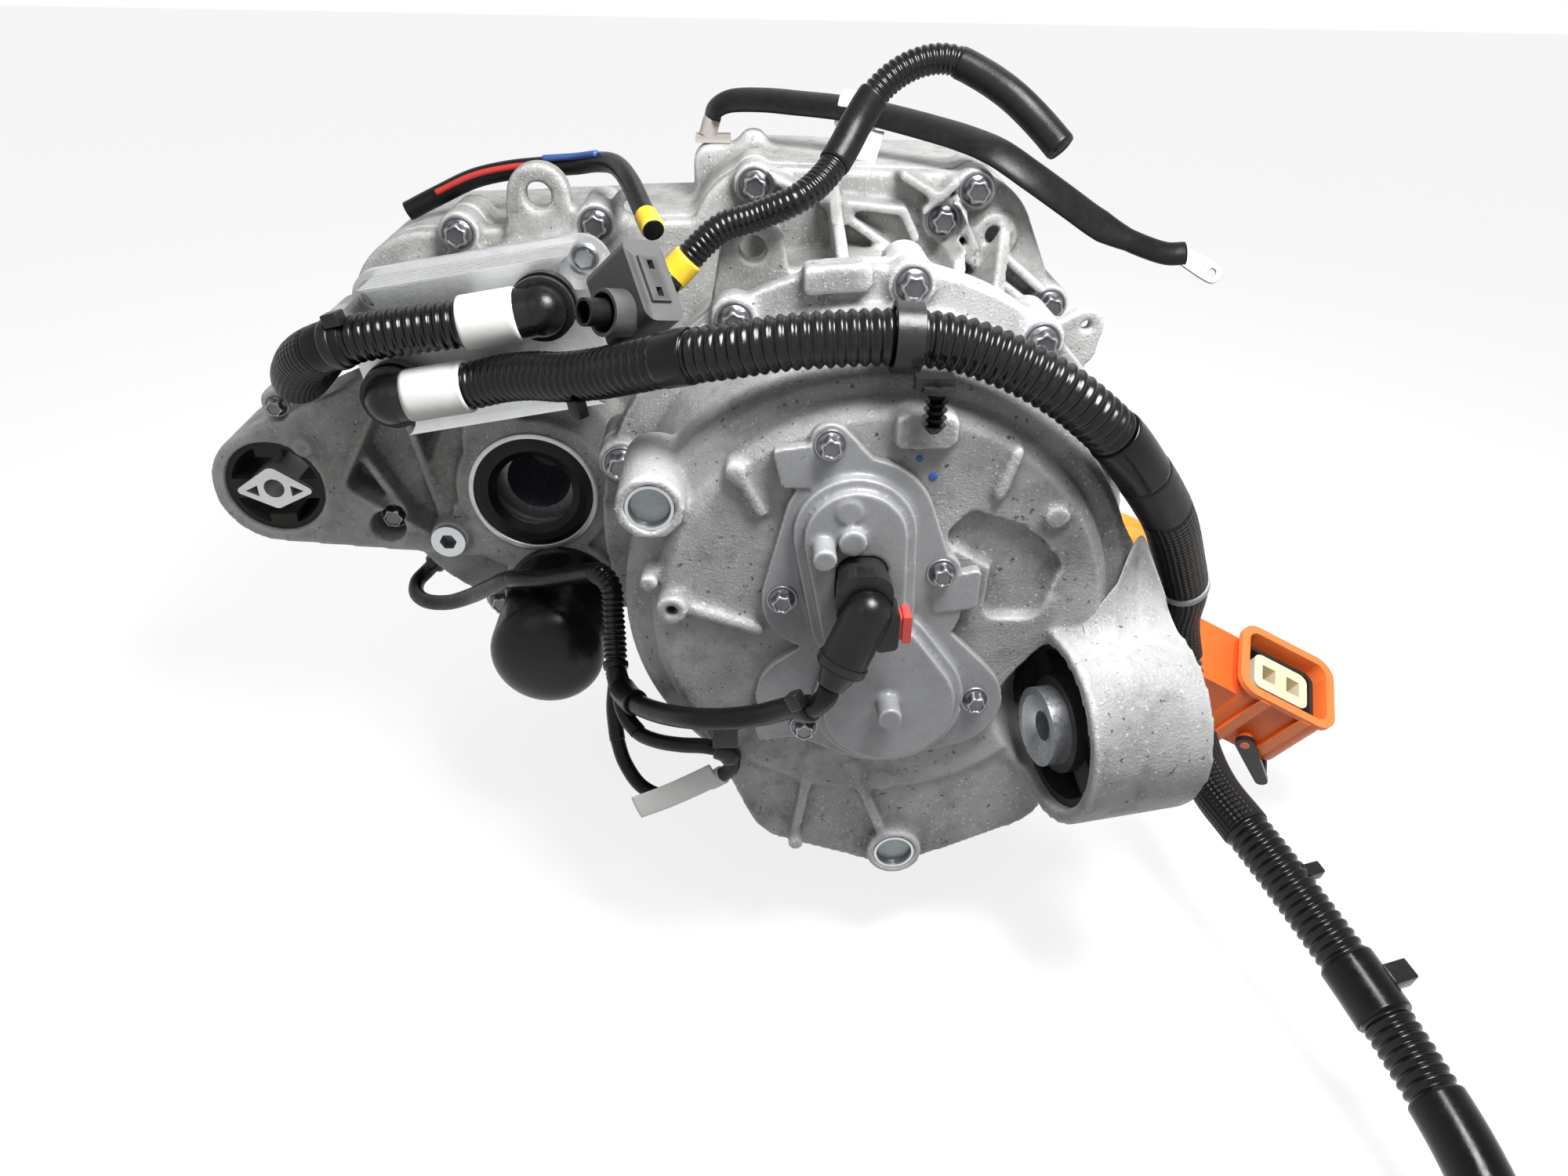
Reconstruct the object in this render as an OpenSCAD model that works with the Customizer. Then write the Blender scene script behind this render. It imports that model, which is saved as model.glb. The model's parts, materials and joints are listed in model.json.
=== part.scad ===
// Electric drive unit for a vehicle axle: motor, two-stage gearbox and differential.
// The motor axis runs along Y, +Y points to the back and +Z points up.
// Pieces are drawn about the motor axis and moved to the bush in the arm, the part's origin.

/* [Motor housing] */
// Outer radius of the motor bell
bell_r = 107; // [100:1:120]
// Depth of the bell from its front face to the gearbox joint
bell_len = 94; // [86:1:115]
// Wall of the bell at its front face
bell_face_wall = 9; // [7:0.5:12]
// Radius of the raised front step of the bell
step_r = 94.5; // [88:0.5:98]
// Outer radius of the joint flange
flange_r = 128; // [126:0.5:140]
// Thickness of the joint flange
flange_t = 10; // [8:0.5:14]
// Radius of the joint bolt circle
flange_bolt_r = 118.5; // [118:0.5:126]

/* [Gearbox] */
// Depth of the gearbox casting between its two joints
case_len = 87; // [84:1:105]
// Depth of the rear cover
cover_len = 92; // [90:1:112]
// Wall of the gearbox castings
case_wall = 7; // [5:0.5:9]
// Radius of the motor barrel of the gearbox casting
barrel_r = 113; // [112:0.5:117]
// Differential axis left of the motor axis
diff_x = -168; // [-175:1:-163]
// Differential axis above the motor axis
diff_z = -13; // [-20:1:0]
// Radius of the machined ring at the output bore
output_ring_r = 41; // [39:0.5:46]
// Radius of the output seal
seal_r = 31; // [28:0.5:34]
// Radius of the hole through the output seal
seal_bore_r = 20; // [18:0.5:22]

/* [Motor] */
// Outer radius of the stator core
stator_r = 96; // [88:0.5:97]
// Radial gap between the rotor and the stator
air_gap = 0.8; // [0.5:0.1:1.2]
// Outer radius of the rotor core
rotor_r = 62; // [55:0.5:66]
// Length of the stator and rotor cores
core_len = 90; // [75:1:92]
// Number of stator slots
slot_count = 36; // [24:6:48]
// Radius of the shaft inside the rotor core
shaft_r = 21; // [18:0.5:24]

/* [Gears] */
// Tooth module of both gear stages
gear_module = 2.25; // [1.9:0.05:2.4]
// Teeth of the motor pinion
pinion_teeth = 23; // [20:1:25]
// Teeth of the layshaft wheel
wheel_teeth = 61; // [58:1:64]
// Teeth of the layshaft pinion
final_teeth = 21; // [19:1:23]
// Teeth of the ring gear
ring_teeth = 66; // [63:1:69]
// Face width of the gears
gear_width = 26; // [20:1:26]
// Play between meshing teeth
backlash = 0.4; // [0.3:0.05:0.6]

/* [Bushes] */
// Arm bush left of the motor axis
bush_x = -303; // [-320:1:-295]
// Arm bush above the motor axis
bush_z = -11; // [-20:1:0]
// Inner radius of the arm eye
bush_r = 25.5; // [22:0.5:28]
// Wall of the arm eye
eye_wall = 6.5; // [5:0.5:9]
// Length of the arm bush
bush_len = 50; // [42:1:58]
// Bolt bore radius of the arm bush core
bush_bore_r = 5.25; // [4:0.25:6.5]
// Inner radius of the motor lug
lug_r = 36; // [32:0.5:37]
// Wall of the motor lug
lug_wall = 6.5; // [5:0.5:8]
// Length of the motor lug
lug_len = 53; // [45:1:72]
// Outer radius of the steel sleeve in the lug bush
sleeve_r = 17; // [14:0.5:20]
// Bolt bore radius of the lug sleeve
sleeve_bore_r = 6.5; // [5:0.25:8]

/* [Cooling and oil] */
// Width of the oil cooler
cooler_w = 118; // [100:1:130]
// Height of the oil cooler
cooler_h = 70; // [60:1:80]
// Thickness of the oil cooler plate pack
cooler_t = 30; // [24:1:36]
// Outer diameter of the coolant hoses
hose_d = 21; // [18:0.5:23]
// Radius of the oil filter can
filter_r = 29; // [25:0.5:31]
// Length of the oil filter can
filter_len = 74; // [60:1:78]

/* [Fasteners] */
// Thread radius of the large case bolts
bolt_r = 4; // [3:0.5:5]
// Thread radius of the sensor cover bolts
small_bolt_r = 3; // [2.5:0.5:4]
// Clearance around a bolt in its hole
bolt_clear = 0.4; // [0.2:0.1:0.8]

/* [Hidden] */

$fn = 64;
press = 0.02;
slip = 0.3;

// Planes along the motor axis
y_face = 4;
y_joint = y_face + bell_len;
y_split = y_joint + case_len;
y_back = y_split + cover_len;
wall_t = 13;
y_wall = y_split - wall_t;
bush_y = y_split - 10;
origin = [bush_x, bush_y, bush_z];

// Motor planes
y_core = y_wall - 24 - core_len;
winding_out = 18;
y_cavity = y_core - winding_out - 3;
stator_bore_r = rotor_r + air_gap;

// Bearings: inner radius, outer radius, width
motor_front_bearing = [15, 31, 16];
motor_rear_bearing = [17.5, 36, 15];
lay_bearing = [12.5, 26, 14];
diff_bearing = [24, 40, 15];
y_front_bearing = y_face + bell_face_wall + 2;
y_rear_bearing = y_split - motor_rear_bearing[2];
y_lay_front = y_split - lay_bearing[2];
y_lay_rear = y_back - 8 - lay_bearing[2];
y_diff_front = y_split - diff_bearing[2];
y_diff_rear = y_back - 6 - diff_bearing[2];

// Gear planes and axes
y_wheel = y_split + 5;
y_final = y_wheel + gear_width + 6;
stage1 = gear_module * (pinion_teeth + wheel_teeth) / 2;
stage2 = gear_module * (final_teeth + ring_teeth) / 2;
axis_gap = norm([diff_x, diff_z]);
lay_along = (stage1 * stage1 - stage2 * stage2 + axis_gap * axis_gap) / (2 * axis_gap);
lay_side = sqrt(stage1 * stage1 - lay_along * lay_along);
lay_x = (diff_x * lay_along + diff_z * lay_side) / axis_gap;
lay_z = (diff_z * lay_along - diff_x * lay_side) / axis_gap;
wheel_r = gear_module * wheel_teeth / 2 + gear_module;
ring_r = gear_module * ring_teeth / 2 + gear_module;
to_lay = atan2(lay_z, lay_x);
to_diff = atan2(diff_z - lay_z, diff_x - lay_x);

// Lug axis: opening centre and turn about Z
lug_at = [73, -8, -45];
lug_turn = 12;
scoop_depth = 30;

// Oil cooler place
cooler_at = [-174, 80];
cooler_tilt = 10;
y_cooler = y_wall - 34;
upper_port = [34, 18];
lower_port = [-42, -10];

// Filter place and its front end
filter_at = [-158, -76];
y_filter = y_wall - 22 - filter_len;

// Casting outlines: circles in order, each with x, z and radius
motor_loop = [[0, 0, flange_r], [52, 112, 34], [-48, 114, 34]];
gear_loop = [
    [0, 0, 100],
    [lay_x, lay_z, wheel_r + 5 + case_wall],
    [-212, 76, 40],
    [diff_x, diff_z, ring_r + 3 + case_wall]
];
arm_loop = [
    [bush_x, bush_z, bush_r + eye_wall],
    [diff_x - 4, diff_z - 30, 12],
    [diff_x - 20, diff_z + 62, 12],
    [diff_x - 58, diff_z + 58, 12]
];
lobe_loop = [[0, 0, step_r - 3], [-30, -100, 26], [14, -126, 16], [58, -94, 26]];
shoulder_loop = [[0, 0, bell_r - 2], [106, -48, 40]];

// Small bolt on the arm beside its eye
arm_bolt = [bush_x + 9, bush_z + bush_r + eye_wall + 12];

// Sensor cover: plate and dome circles
plate_loops = [
    [[-12, 46, 30], [-26, 14, 24], [8, 10, 24]],
    [[4, -14, 26], [-30, -34, 22], [0, -46, 24], [30, -38, 24]]
];
dome_loops = [[[-14, 46, 20], [-9, 6, 17]], [[0, -10, 17], [4, -34, 28]]];
cover_bolts = [[-24.6, 82], [-41.6, 14.6], [22, 27], [42, -36], [-31, -50]];
y_plate = y_face - 5;
pocket_depth = bell_face_wall - 4;
y_dome = y_plate - 9;

// Bolt places on the two joints
flange_bolt_angles = [121, 83, 52, 20, -20, -62, -100, -140, 163];
case_bolt_spots = [
    [39, 126], [97, 85], [-52, 141], [54, 140], [-194, 117], [-128, 122], [-246, 62],
    [-248, -34], [-196, -90], [-96, -98], [-30, -120], [44, -116], [104, -68], [124, 4]
];
wall_ribs = [
    [-20, 135, 13, 114], [-46, 146, -32, 140], [18, 147, 37, 136], [43, 144, 30, 131], [44, 115, 84, 87],
    [19, 131, 26, 118], [55, 114, 44, 134], [-13, 134, 19, 131], [70, 110, 93, 92]
];
plug_spots = [[-93, 55, y_face - 6], [14, -128, y_face - 4]];

// Cord routes, chosen by hand
upper_route = [
    [-165.8, 90, 99.7], [-180, 90, 97.2], [-196, 90, 95], [-212, 90, 92.6], [-227, 91, 89.5],
    [-241, 95, 84.5], [-253, 102, 77], [-262, 112, 67], [-268, 125, 58], [-270, 141, 54],
    [-270, 160, 54.5], [-270, 180, 56], [-270, 200, 56]
];
hose_route = [
    [-191.6, 90, 66.9], [-177, 90, 69.5], [-162, 84, 75], [-147, 74, 80], [-132, 62, 84],
    [-116, 50, 90], [-100, 36, 98], [-82, 24, 106], [-62, 15, 112], [-42, 10, 117],
    [-20, 8, 119.5], [2, 8, 120], [22, 8, 117.5], [42, 6, 111], [60, 4, 102],
    [75, 4, 91], [88, 8, 79], [100, 15, 65], [112, 23, 50], [124, 32, 33],
    [137, 45, 9], [149, 58, -16], [154, 68, -40], [161, 70, -63], [165, 58, -83],
    [166, 38, -97], [168, 16, -103], [174, -6, -106], [181, -28, -110], [188, -50, -115],
    [195, -74, -120], [201, -98, -125], [205, -122, -129], [208, -146, -133], [209, -170, -138],
    [209, -194, -143]
];
conduit_route = [
    [-94.5, 81.0, 119.0], [-89.5, 85.6, 117.4], [-85.9, 88.9, 120.3], [-67.9, 91.1, 137.5], [-52, 91.1, 143.4],
    [-35, 89, 151],
    [-24, 97, 158], [-16, 107, 167], [-10, 115, 176], [-3, 120, 186], [6, 123, 194],
    [17, 125, 199], [29, 125, 200], [42, 121, 195], [54, 115, 188], [65, 109, 179],
    [74, 101, 170]
];
strap_route = [
    [-73.3, 236, 160.2], [-71.4, 236, 165], [-63, 234, 169], [-46, 230, 170], [-30, 225, 169.5],
    [-14, 219, 169], [2, 212, 168], [18, 202, 166], [34, 191, 163.5], [48, 180, 161], [62, 167, 157],
    [78, 160, 148], [96, 159, 137], [114, 160, 126], [132, 160, 118], [148, 160, 113],
    [158, 160, 113]
];
harness_route = [
    [-244, 205, -88], [-249, 205, -93], [-254, 199, -97], [-252, 188, -99], [-242, 176, -97],
    [-226, 164, -90], [-209, 150, -77], [-194, 132, -61], [-177, 113, -44], [-157, 99, -36],
    [-140, 88, -27], [-127, 78, -20], [-120, 70, -23], [-119, 64, -34], [-118, 57, -48],
    [-117, 48, -58], [-111.9, 34, -58.4], [-103.9, 18, -53.1], [-92.2, 4, -47.2], [-79.0, -8, -40.4],
    [-64.7, -14, -36.2], [-50.1, -18, -31.1], [-38.5, -24, -23.0], [-31, -31, -18],
    [-25.7, -34.8, -10.6], [-23.6, -33.9, -5.8]
];
branch_route = [
    [-110.3, 24, -65.3], [-104.5, 17, -68.3], [-95.9, 10, -67.2], [-85.0, 4, -64.6],
    [-73.0, 0, -62.3], [-64.1, -1, -65.1], [-62.1, 0.2, -73.8], [-69, 4.5, -84.2], [-81.9, 10, -95.6],
    [-94.0, 14, -103.4], [-105.4, 20, -102.3], [-113.3, 27, -93.8], [-117.4, 34, -83.3]
];
loom_route = [
    [-226, 200, 119.6], [-210, 202, 127.2], [-192, 204, 135], [-174, 205, 139], [-156, 205, 141],
    [-140, 200, 143], [-128, 191, 146], [-118, 178, 147], [-110, 160, 143], [-103, 141, 135],
    [-97, 125, 129]
];
hv_route = [
    [132, 120, -20], [140, 120, -20], [148, 119, -24], [154, 118.3, -33], [158, 117.6, -44],
    [161.5, 117, -56], [162.7, 115.8, -80.4], [171.4, 113.9, -84.4]
];
hv_pitch = 15;
hv_side = [0.321, 0.904, 0.282];
hv_cable_r = 6.75;
harness_r = 4.5;
branch_r = 3.5;
conduit_r = 6.25;
loom_r = 5;
strap_w = 17;
strap_t = 5;

// Colours
cast_colour = [0.72, 0.73, 0.74];
dark_cast_colour = [0.55, 0.56, 0.58];
steel_colour = [0.62, 0.64, 0.66];
bolt_colour = [0.33, 0.34, 0.36];
black_colour = [0.08, 0.08, 0.09];
rubber_colour = [0.11, 0.1, 0.09];
orange_colour = [0.95, 0.36, 0.08];
copper_colour = [0.72, 0.42, 0.22];
red_colour = [0.8, 0.1, 0.08];

// Shared shapes
function tangent_angle(a, b) =
    atan2(b[1] - a[1], b[0] - a[0]) - acos((a[2] - b[2]) / norm([b[0] - a[0], b[1] - a[1]]));

// Outline of a belt round the circles, grown by a distance
function loop_points(circles, grow = 0, step = 7.5) =
    let (count = len(circles))
    [
        for (i = [0:count - 1])
            let (
                before = circles[(i + count - 1) % count],
                here = circles[i],
                after = circles[(i + 1) % count],
                start = tangent_angle(before, here),
                raw_end = tangent_angle(here, after),
                end = raw_end + 360 * ceil((start - raw_end) / 360),
                steps = max(1, ceil((end - start) / step)),
                r = here[2] + grow
            )
            for (k = [0:steps])
                let (a = start + (end - start) * k / steps)
                [here[0] + r * cos(a), here[1] + r * sin(a)]
    ];

function involute(a) = tan(a) * 180 / PI - a;

// Half the angle of a tooth at radius r
function tooth_angle(teeth, r) =
    let (pitch = gear_module * teeth / 2, base = pitch * cos(20))
    90 / teeth - backlash / 4 / pitch * 180 / PI + involute(20)
        - (r > base ? involute(acos(base / r)) : 0);

// Spur gear outline with one tooth at the given angle
function gear_points(teeth, at) =
    let (
        pitch = gear_module * teeth / 2,
        root = pitch - 1.25 * gear_module,
        base = max(root, pitch * cos(20)),
        tip = pitch + gear_module,
        radii = [root, base, pitch, (pitch + tip) / 2, tip],
        turns = [for (r = radii) tooth_angle(teeth, max(r, base))]
    )
    [
        for (i = [0:teeth - 1])
            for (k = [0:9])
                let (
                    j = k < 5 ? k : 9 - k,
                    side = k < 5 ? -1 : 1,
                    a = at + 360 / teeth * i + side * turns[j]
                )
                [radii[j] * cos(a), radii[j] * sin(a)]
    ];

function unit(v) = v / norm(v);

// Direction of a route at point i
function heading(route, i) =
    unit(route[min(i + 1, len(route) - 1)] - route[max(i - 1, 0)]);

// Tube swept along a route: half width, half height, sides and a side-on direction
module swept(route, half_w, half_h, sides, aside) {
    last = len(route) - 1;
    rings = [
        for (i = [0:last])
            let (
                ahead = heading(route, i),
                across = unit(aside - (aside * ahead) * ahead),
                up = cross(ahead, across)
            )
            for (k = [0:sides - 1])
                let (a = 360 / sides * k)
                route[i] + half_w * cos(a) * across + half_h * sin(a) * up
    ];
    walls = [
        for (i = [0:last - 1])
            for (k = [0:sides - 1])
                let (m = (k + 1) % sides)
                [i * sides + k, (i + 1) * sides + k, (i + 1) * sides + m, i * sides + m]
    ];
    front = [[for (k = [0:sides - 1]) k]];
    back = [[for (k = [sides - 1:-1:0]) last * sides + k]];
    polyhedron(points = rings, faces = concat(walls, front, back), convexity = 6);
}

module rod(r, y0, y1, x = 0, z = 0) {
    translate([x, y0, z]) rotate([-90, 0, 0]) cylinder(r = r, h = y1 - y0);
}

module taper(r0, r1, y0, y1, x = 0, z = 0) {
    translate([x, y0, z]) rotate([-90, 0, 0]) cylinder(r1 = r0, r2 = r1, h = y1 - y0);
}

// Extrudes a shape drawn in X and Z from y0 to y1
module plate(y0, y1) {
    translate([0, y1, 0]) rotate([90, 0, 0]) linear_extrude(height = y1 - y0) children();
}

// Revolves a profile of radius and y about the Y axis
module lathe(profile, x = 0, z = 0) {
    translate([x, 0, z]) rotate([-90, 0, 0]) rotate_extrude(convexity = 4) polygon(profile);
}

module belt(circles, grow = 0) {
    polygon(loop_points(circles, grow));
}

module ring(r0, r1, y0, y1, x = 0, z = 0) {
    lathe([[r0, y0], [r1, y0], [r1, y1], [r0, y1]], x, z);
}

// Flange-head bolt with a six-lobe head, its seat at y and its shank towards the back
module flange_bolt(r, y, shank) {
    head = [for (i = [0:23]) let (a = i * 15, s = r * (1.32 + 0.13 * cos(6 * a))) [s * cos(a), s * sin(a)]];
    rod(r, y - 0.5, y + shank);
    lathe([[0, y], [r * 2.1, y], [r * 2.1, y - r * 0.3], [r * 1.6, y - r * 0.65], [0, y - r * 0.65]]);
    plate(y - r * 1.9, y - r * 0.6) polygon(head);
}

module at_xz(p) {
    translate([p[0], 0, p[1]]) children();
}

// Frame of the lug: its axis along local X, the opening at x = 0
module in_lug() {
    translate(lug_at) rotate([0, 0, lug_turn]) children();
}

module lug_rod(r, x0, x1) {
    translate([x0, 0, 0]) rotate([0, 90, 0]) cylinder(r = r, h = x1 - x0);
}

// Motor housing
module bell_outside() {
    lathe([
        [0, y_face], [step_r - 4, y_face], [step_r, y_face + 4], [step_r + 1, y_face + 10],
        [bell_r - 4, y_face + 12], [bell_r, y_face + 17], [bell_r + 2, y_joint], [0, y_joint]
    ]);
    plate(y_joint - flange_t, y_joint) circle(flange_r - 4);
    plate(y_joint - flange_t - 7, y_joint - 2) belt([[-29, 116, 3], [-6, 118, 3], [-6, 124, 3], [-29, 122, 3]]);
    for (a = flange_bolt_angles)
        rod(10.5, y_joint - flange_t - 3, y_joint, flange_bolt_r * cos(a), flange_bolt_r * sin(a));
    plate(y_face + 3, y_joint - 32) belt(lobe_loop);
    plate(y_face + 15, y_face + 56) belt(shoulder_loop);
    in_lug() lug_rod(lug_r + lug_wall, 0, lug_len);
    for (p = plug_spots) rod(p == plug_spots[0] ? 13.5 : 13, p[2], y_face + 40, p[0], p[1]);
}

module bell_details() {
    rod(6.5, y_face - 8, y_face + 12, -86, 10);
    rod(3.8, y_face - 5, y_face + 14, -95, 21);
    rod(4.4, y_face - 4, y_face + 8, -60, 69);
    rod(5, y_face - 3, y_face + 12, 66, 50);
    rod(5.5, y_face - 2, y_face + 8, 6, -85);
    rod(3.5, y_face - 8, y_face + 30, -33, -118);
    for (p = cover_bolts) rod(7.4, y_face + 2, y_face + 17, p[0], p[1]);
    plate(y_face - 4, y_face + 8) belt([[-80, 8, 3], [-51, -2, 2.6]]);
    plate(y_face - 3, y_face + 8) belt([[-59, 67, 2.6], [-50, 52, 2.2]]);
    plate(y_face - 4, y_face + 8) belt([[47, 78, 2.4], [42, 60, 2.4]]);
    plate(y_face - 2, y_face + 8) belt([[-26, -68, 2.6], [-33, -116, 2.2]]);
    plate(y_face - 2, y_face + 8) belt([[-8, -76, 2.6], [8, -118, 2.4]]);
    plate(y_face - 6, y_face + 14) belt([[19, 90, 4], [3, 90, 4], [3, 84, 4], [19, 84, 4]]);
    plate(y_face - 1, y_face + 8) belt([[70, 10, 3], [74, -12, 3]]);
}

module motor_housing() {
    color(cast_colour) difference() {
        union() {
            difference() {
                union() {
                    bell_outside();
                    bell_details();
                }
                ring(40, stator_r - 4, y_face + bell_face_wall, y_core - 2);
                rod(stator_r + press, y_core - 2, y_joint + 1);
                rod(stator_r - 6, y_cavity, y_core);
            }
            intersection() {
                in_lug() translate([-scoop_depth, 0, 0]) rotate([0, 90, 0])
                    cylinder(r1 = 15, r2 = lug_r + 5, h = scoop_depth + 2);
                translate([0, y_face + 1, -120]) cube([120, 60, 150]);
            }
        }
        in_lug() translate([-scoop_depth + 5, 0, 0]) rotate([0, 90, 0])
            cylinder(r1 = 10, r2 = lug_r, h = scoop_depth - 4.9);
        in_lug() lug_rod(lug_r, -0.2, lug_len + 14);
        rod(motor_front_bearing[1] + press, y_front_bearing, y_cavity + 1);
        plate(y_face - 1, y_face + pocket_depth) {
            belt([[29, 40, 5], [47, 31, 6], [58, 32, 8], [50, 40, 6], [34, 46, 5]]);
            belt([[48, 8, 6], [60, 8, 6], [63, 26, 8], [50, 32, 6]]);
        }
        rod(27, y_face - 9, y_face + 30);
        for (p = cover_bolts) rod(small_bolt_r + press, y_face - 2, y_face + 15, p[0], p[1]);
        rod(2.5, y_face - 9, y_face + 8, -86, 10);
        for (p = plug_spots) rod(9.5, p[2] - 1, p[2] + 14, p[0], p[1]);
        for (a = flange_bolt_angles)
            rod(bolt_r + bolt_clear, y_joint - flange_t - 4, y_joint + 1,
                flange_bolt_r * cos(a), flange_bolt_r * sin(a));
    }
}

module core_plugs() {
    color(steel_colour) for (p = plug_spots) {
        lathe([
            [0, p[2] + 4], [7.5, p[2] + 4], [8.3, p[2] + 1], [9.5 - press, p[2] + 1],
            [9.5 - press, p[2] + 9], [8.3, p[2] + 9], [7.5, p[2] + 6], [0, p[2] + 6]
        ], p[0], p[1]);
    }
}

module flange_bolts() {
    color(bolt_colour) for (a = flange_bolt_angles)
        at_xz(flange_bolt_r * [cos(a), sin(a)]) flange_bolt(bolt_r, y_joint - flange_t - 3, flange_t + 20);
}

// Sensor cover and its plug
module sensor_cover() {
    color(dark_cast_colour) difference() {
        union() {
            for (loop = plate_loops) plate(y_plate, y_face) belt(loop);
            for (p = cover_bolts) rod(8, y_plate, y_face, p[0], p[1]);
            plate(y_plate, y_face) belt([[-24.6, 82, 8], [-14, 62, 14]]);
            plate(y_plate, y_face) belt([[-42, 15, 8], [-24, 8, 12]]);
            plate(y_plate, y_face) belt([[42, -36, 8], [24, -34, 14]]);
            plate(y_plate - 0.8, y_face) belt([[-30, 80, 2], [-44, 78, 2], [-41, 66, 2], [-28, 66, 2]]);
            plate(y_plate - 0.8, y_face) belt([[36, 26, 2], [22, 22, 2], [22, 10, 2], [36, 12, 2]]);
            plate(y_plate - 0.8, y_face) belt([[-38, -44, 2], [-52, -46, 2], [-49, -56, 2], [-36, -54, 2]]);
            for (loop = dome_loops) plate(y_dome + 4, y_plate) belt(loop, 4);
            for (loop = dome_loops) plate(y_dome, y_plate) belt(loop);
            rod(5.4, y_dome - 5, y_plate, -15.5, 47);
            rod(4.6, y_dome - 12, y_plate, -26.5, 43.5);
            rod(5, y_dome - 12, y_plate, 3, -31);
            rod(5, y_dome - 0.8, y_plate, -17, 58);
        }
        for (loop = dome_loops) plate(y_dome + 4, y_face + 1) belt(loop, -4);
        rod(24, y_plate + 2, y_face + 1);
        for (p = cover_bolts) {
            rod(small_bolt_r + bolt_clear, y_plate - 1, y_face + 1, p[0], p[1]);
            rod(small_bolt_r * 2.1 + 0.5, y_plate - 12, y_plate, p[0], p[1]);
        }
        plate(y_dome - 1, y_plate) belt(socket_loop, 4);
    }
}

module sensor_cover_bolts() {
    color(bolt_colour) for (p = cover_bolts)
        at_xz(p) flange_bolt(small_bolt_r, y_plate, 14);
}

socket_at = [-11, 27];
socket_loop = [
    [socket_at[0] - 3, socket_at[1] + 5, 3], [socket_at[0] - 3, socket_at[1] - 5, 3],
    [socket_at[0] + 3, socket_at[1] - 5, 3], [socket_at[0] + 3, socket_at[1] + 5, 3]
];
plug_y = y_dome - 16;
lock_loop = [[3, 21.5, 0.8], [-1.5, 21.5, 0.8], [-1.5, 13.5, 0.8], [3, 13.5, 0.8]];
elbow_from = [socket_at[0] + 1, plug_y - 1, socket_at[1] - 3];
elbow_to = [-20, plug_y - 6, 2];
elbow_len = norm(elbow_to - elbow_from);
plug_tail = 8;

module sensor_socket() {
    color(black_colour) difference() {
        union() {
            plate(y_dome - 8, y_plate - 0.3) belt(socket_loop, 3.7);
        }
        plate(y_dome - 9, y_dome + 2) belt(socket_loop, 1.5);
    }
}

module sensor_plug() {
    color(black_colour) difference() {
        union() {
            plate(plug_y, y_dome - 8.3) belt(socket_loop, 4.6);
            plate(y_dome - 9, y_dome + 1) belt(socket_loop, 1.2);
            translate(elbow_from) sphere(9.5);
            translate(elbow_from) facing(unit(elbow_to - elbow_from)) {
                cylinder(r = 9.5, h = elbow_len);
                translate([0, 0, elbow_len - 4]) cylinder(r = 10.2, h = 3);
                translate([0, 0, elbow_len]) cylinder(r1 = 8, r2 = 5.4, h = plug_tail);
            }
            plate(plug_y - 4, plug_y + 7.6) belt([[-4, 24, 3], [-4, 11, 3], [0, 11, 2.2], [0, 24, 2.2]]);
        }
        plate(plug_y - 2 - slip, plug_y + 6 + slip) belt(lock_loop, slip);
        plate(plug_y - 2 - slip, plug_y + 6 + slip) translate([6, 0]) belt(lock_loop, slip);
    }
}

module plug_lock() {
    color(red_colour) union() {
        plate(plug_y - 2, plug_y + 6) belt(lock_loop);
        plate(plug_y - 3, plug_y + 6.6) belt([[6.2, 22.5, 0.8], [4.4, 22.5, 0.8], [4.4, 12.5, 0.8], [6.2, 12.5, 0.8]]);
    }
}

// Gearbox housing
module case_wall_shape(grow = 0) {
    belt(motor_loop, grow);
    belt(gear_loop, grow);
}

module gusset(angle, reach) {
    rotate([0, -angle, 0]) translate([0, 0, -3]) linear_extrude(height = 6)
        polygon([[barrel_r - 3, y_joint + 10], [barrel_r + 2, y_joint + 10], [reach, y_wall - 4],
            [reach, y_wall + 2], [barrel_r - 3, y_wall + 2]]);
}

module arm() {
    difference() {
        plate(bush_y - bush_len / 2, y_split) belt(arm_loop);
        plate(bush_y - bush_len / 2 - 1, y_wall + 1) belt([
            [bush_x + 44, bush_z + 2, 6], [diff_x - 42, diff_z - 30, 5],
            [diff_x - 42, diff_z + 38, 8], [diff_x - 66, diff_z + 48, 6]
        ]);
    }
    plate(bush_y - bush_len / 2 + 8, y_wall + 2) belt([[bush_x + 38, bush_z + 30, 2.5], [diff_x - 66, diff_z - 30, 2.5]]);
    plate(bush_y - bush_len / 2 + 8, y_wall + 2) belt([[diff_x - 66, diff_z + 50, 2.5], [diff_x - 50, diff_z - 30, 2.5]]);
    rod(bush_r + eye_wall, bush_y - bush_len / 2, bush_y + bush_len / 2, bush_x, bush_z);
    rod(9, bush_y - bush_len / 2 + 6, bush_y + 12, arm_bolt[0], arm_bolt[1]);
    plate(bush_y - bush_len / 2 + 10, bush_y + 8) belt([[bush_x + 9, bush_z + bush_r + 16, 8], [bush_x + 22, bush_z + 20, 8]]);
    rod(5, bush_y - bush_len / 2 - 3, bush_y, bush_x + 20, bush_z + 24);
}

module ear(x, z, r, y0, y1, root) {
    plate(y0, y1) belt([[x, z, r], [root[0] - 12, root[1], 6], [root[0] + 12, root[1], 6]]);
}

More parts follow.
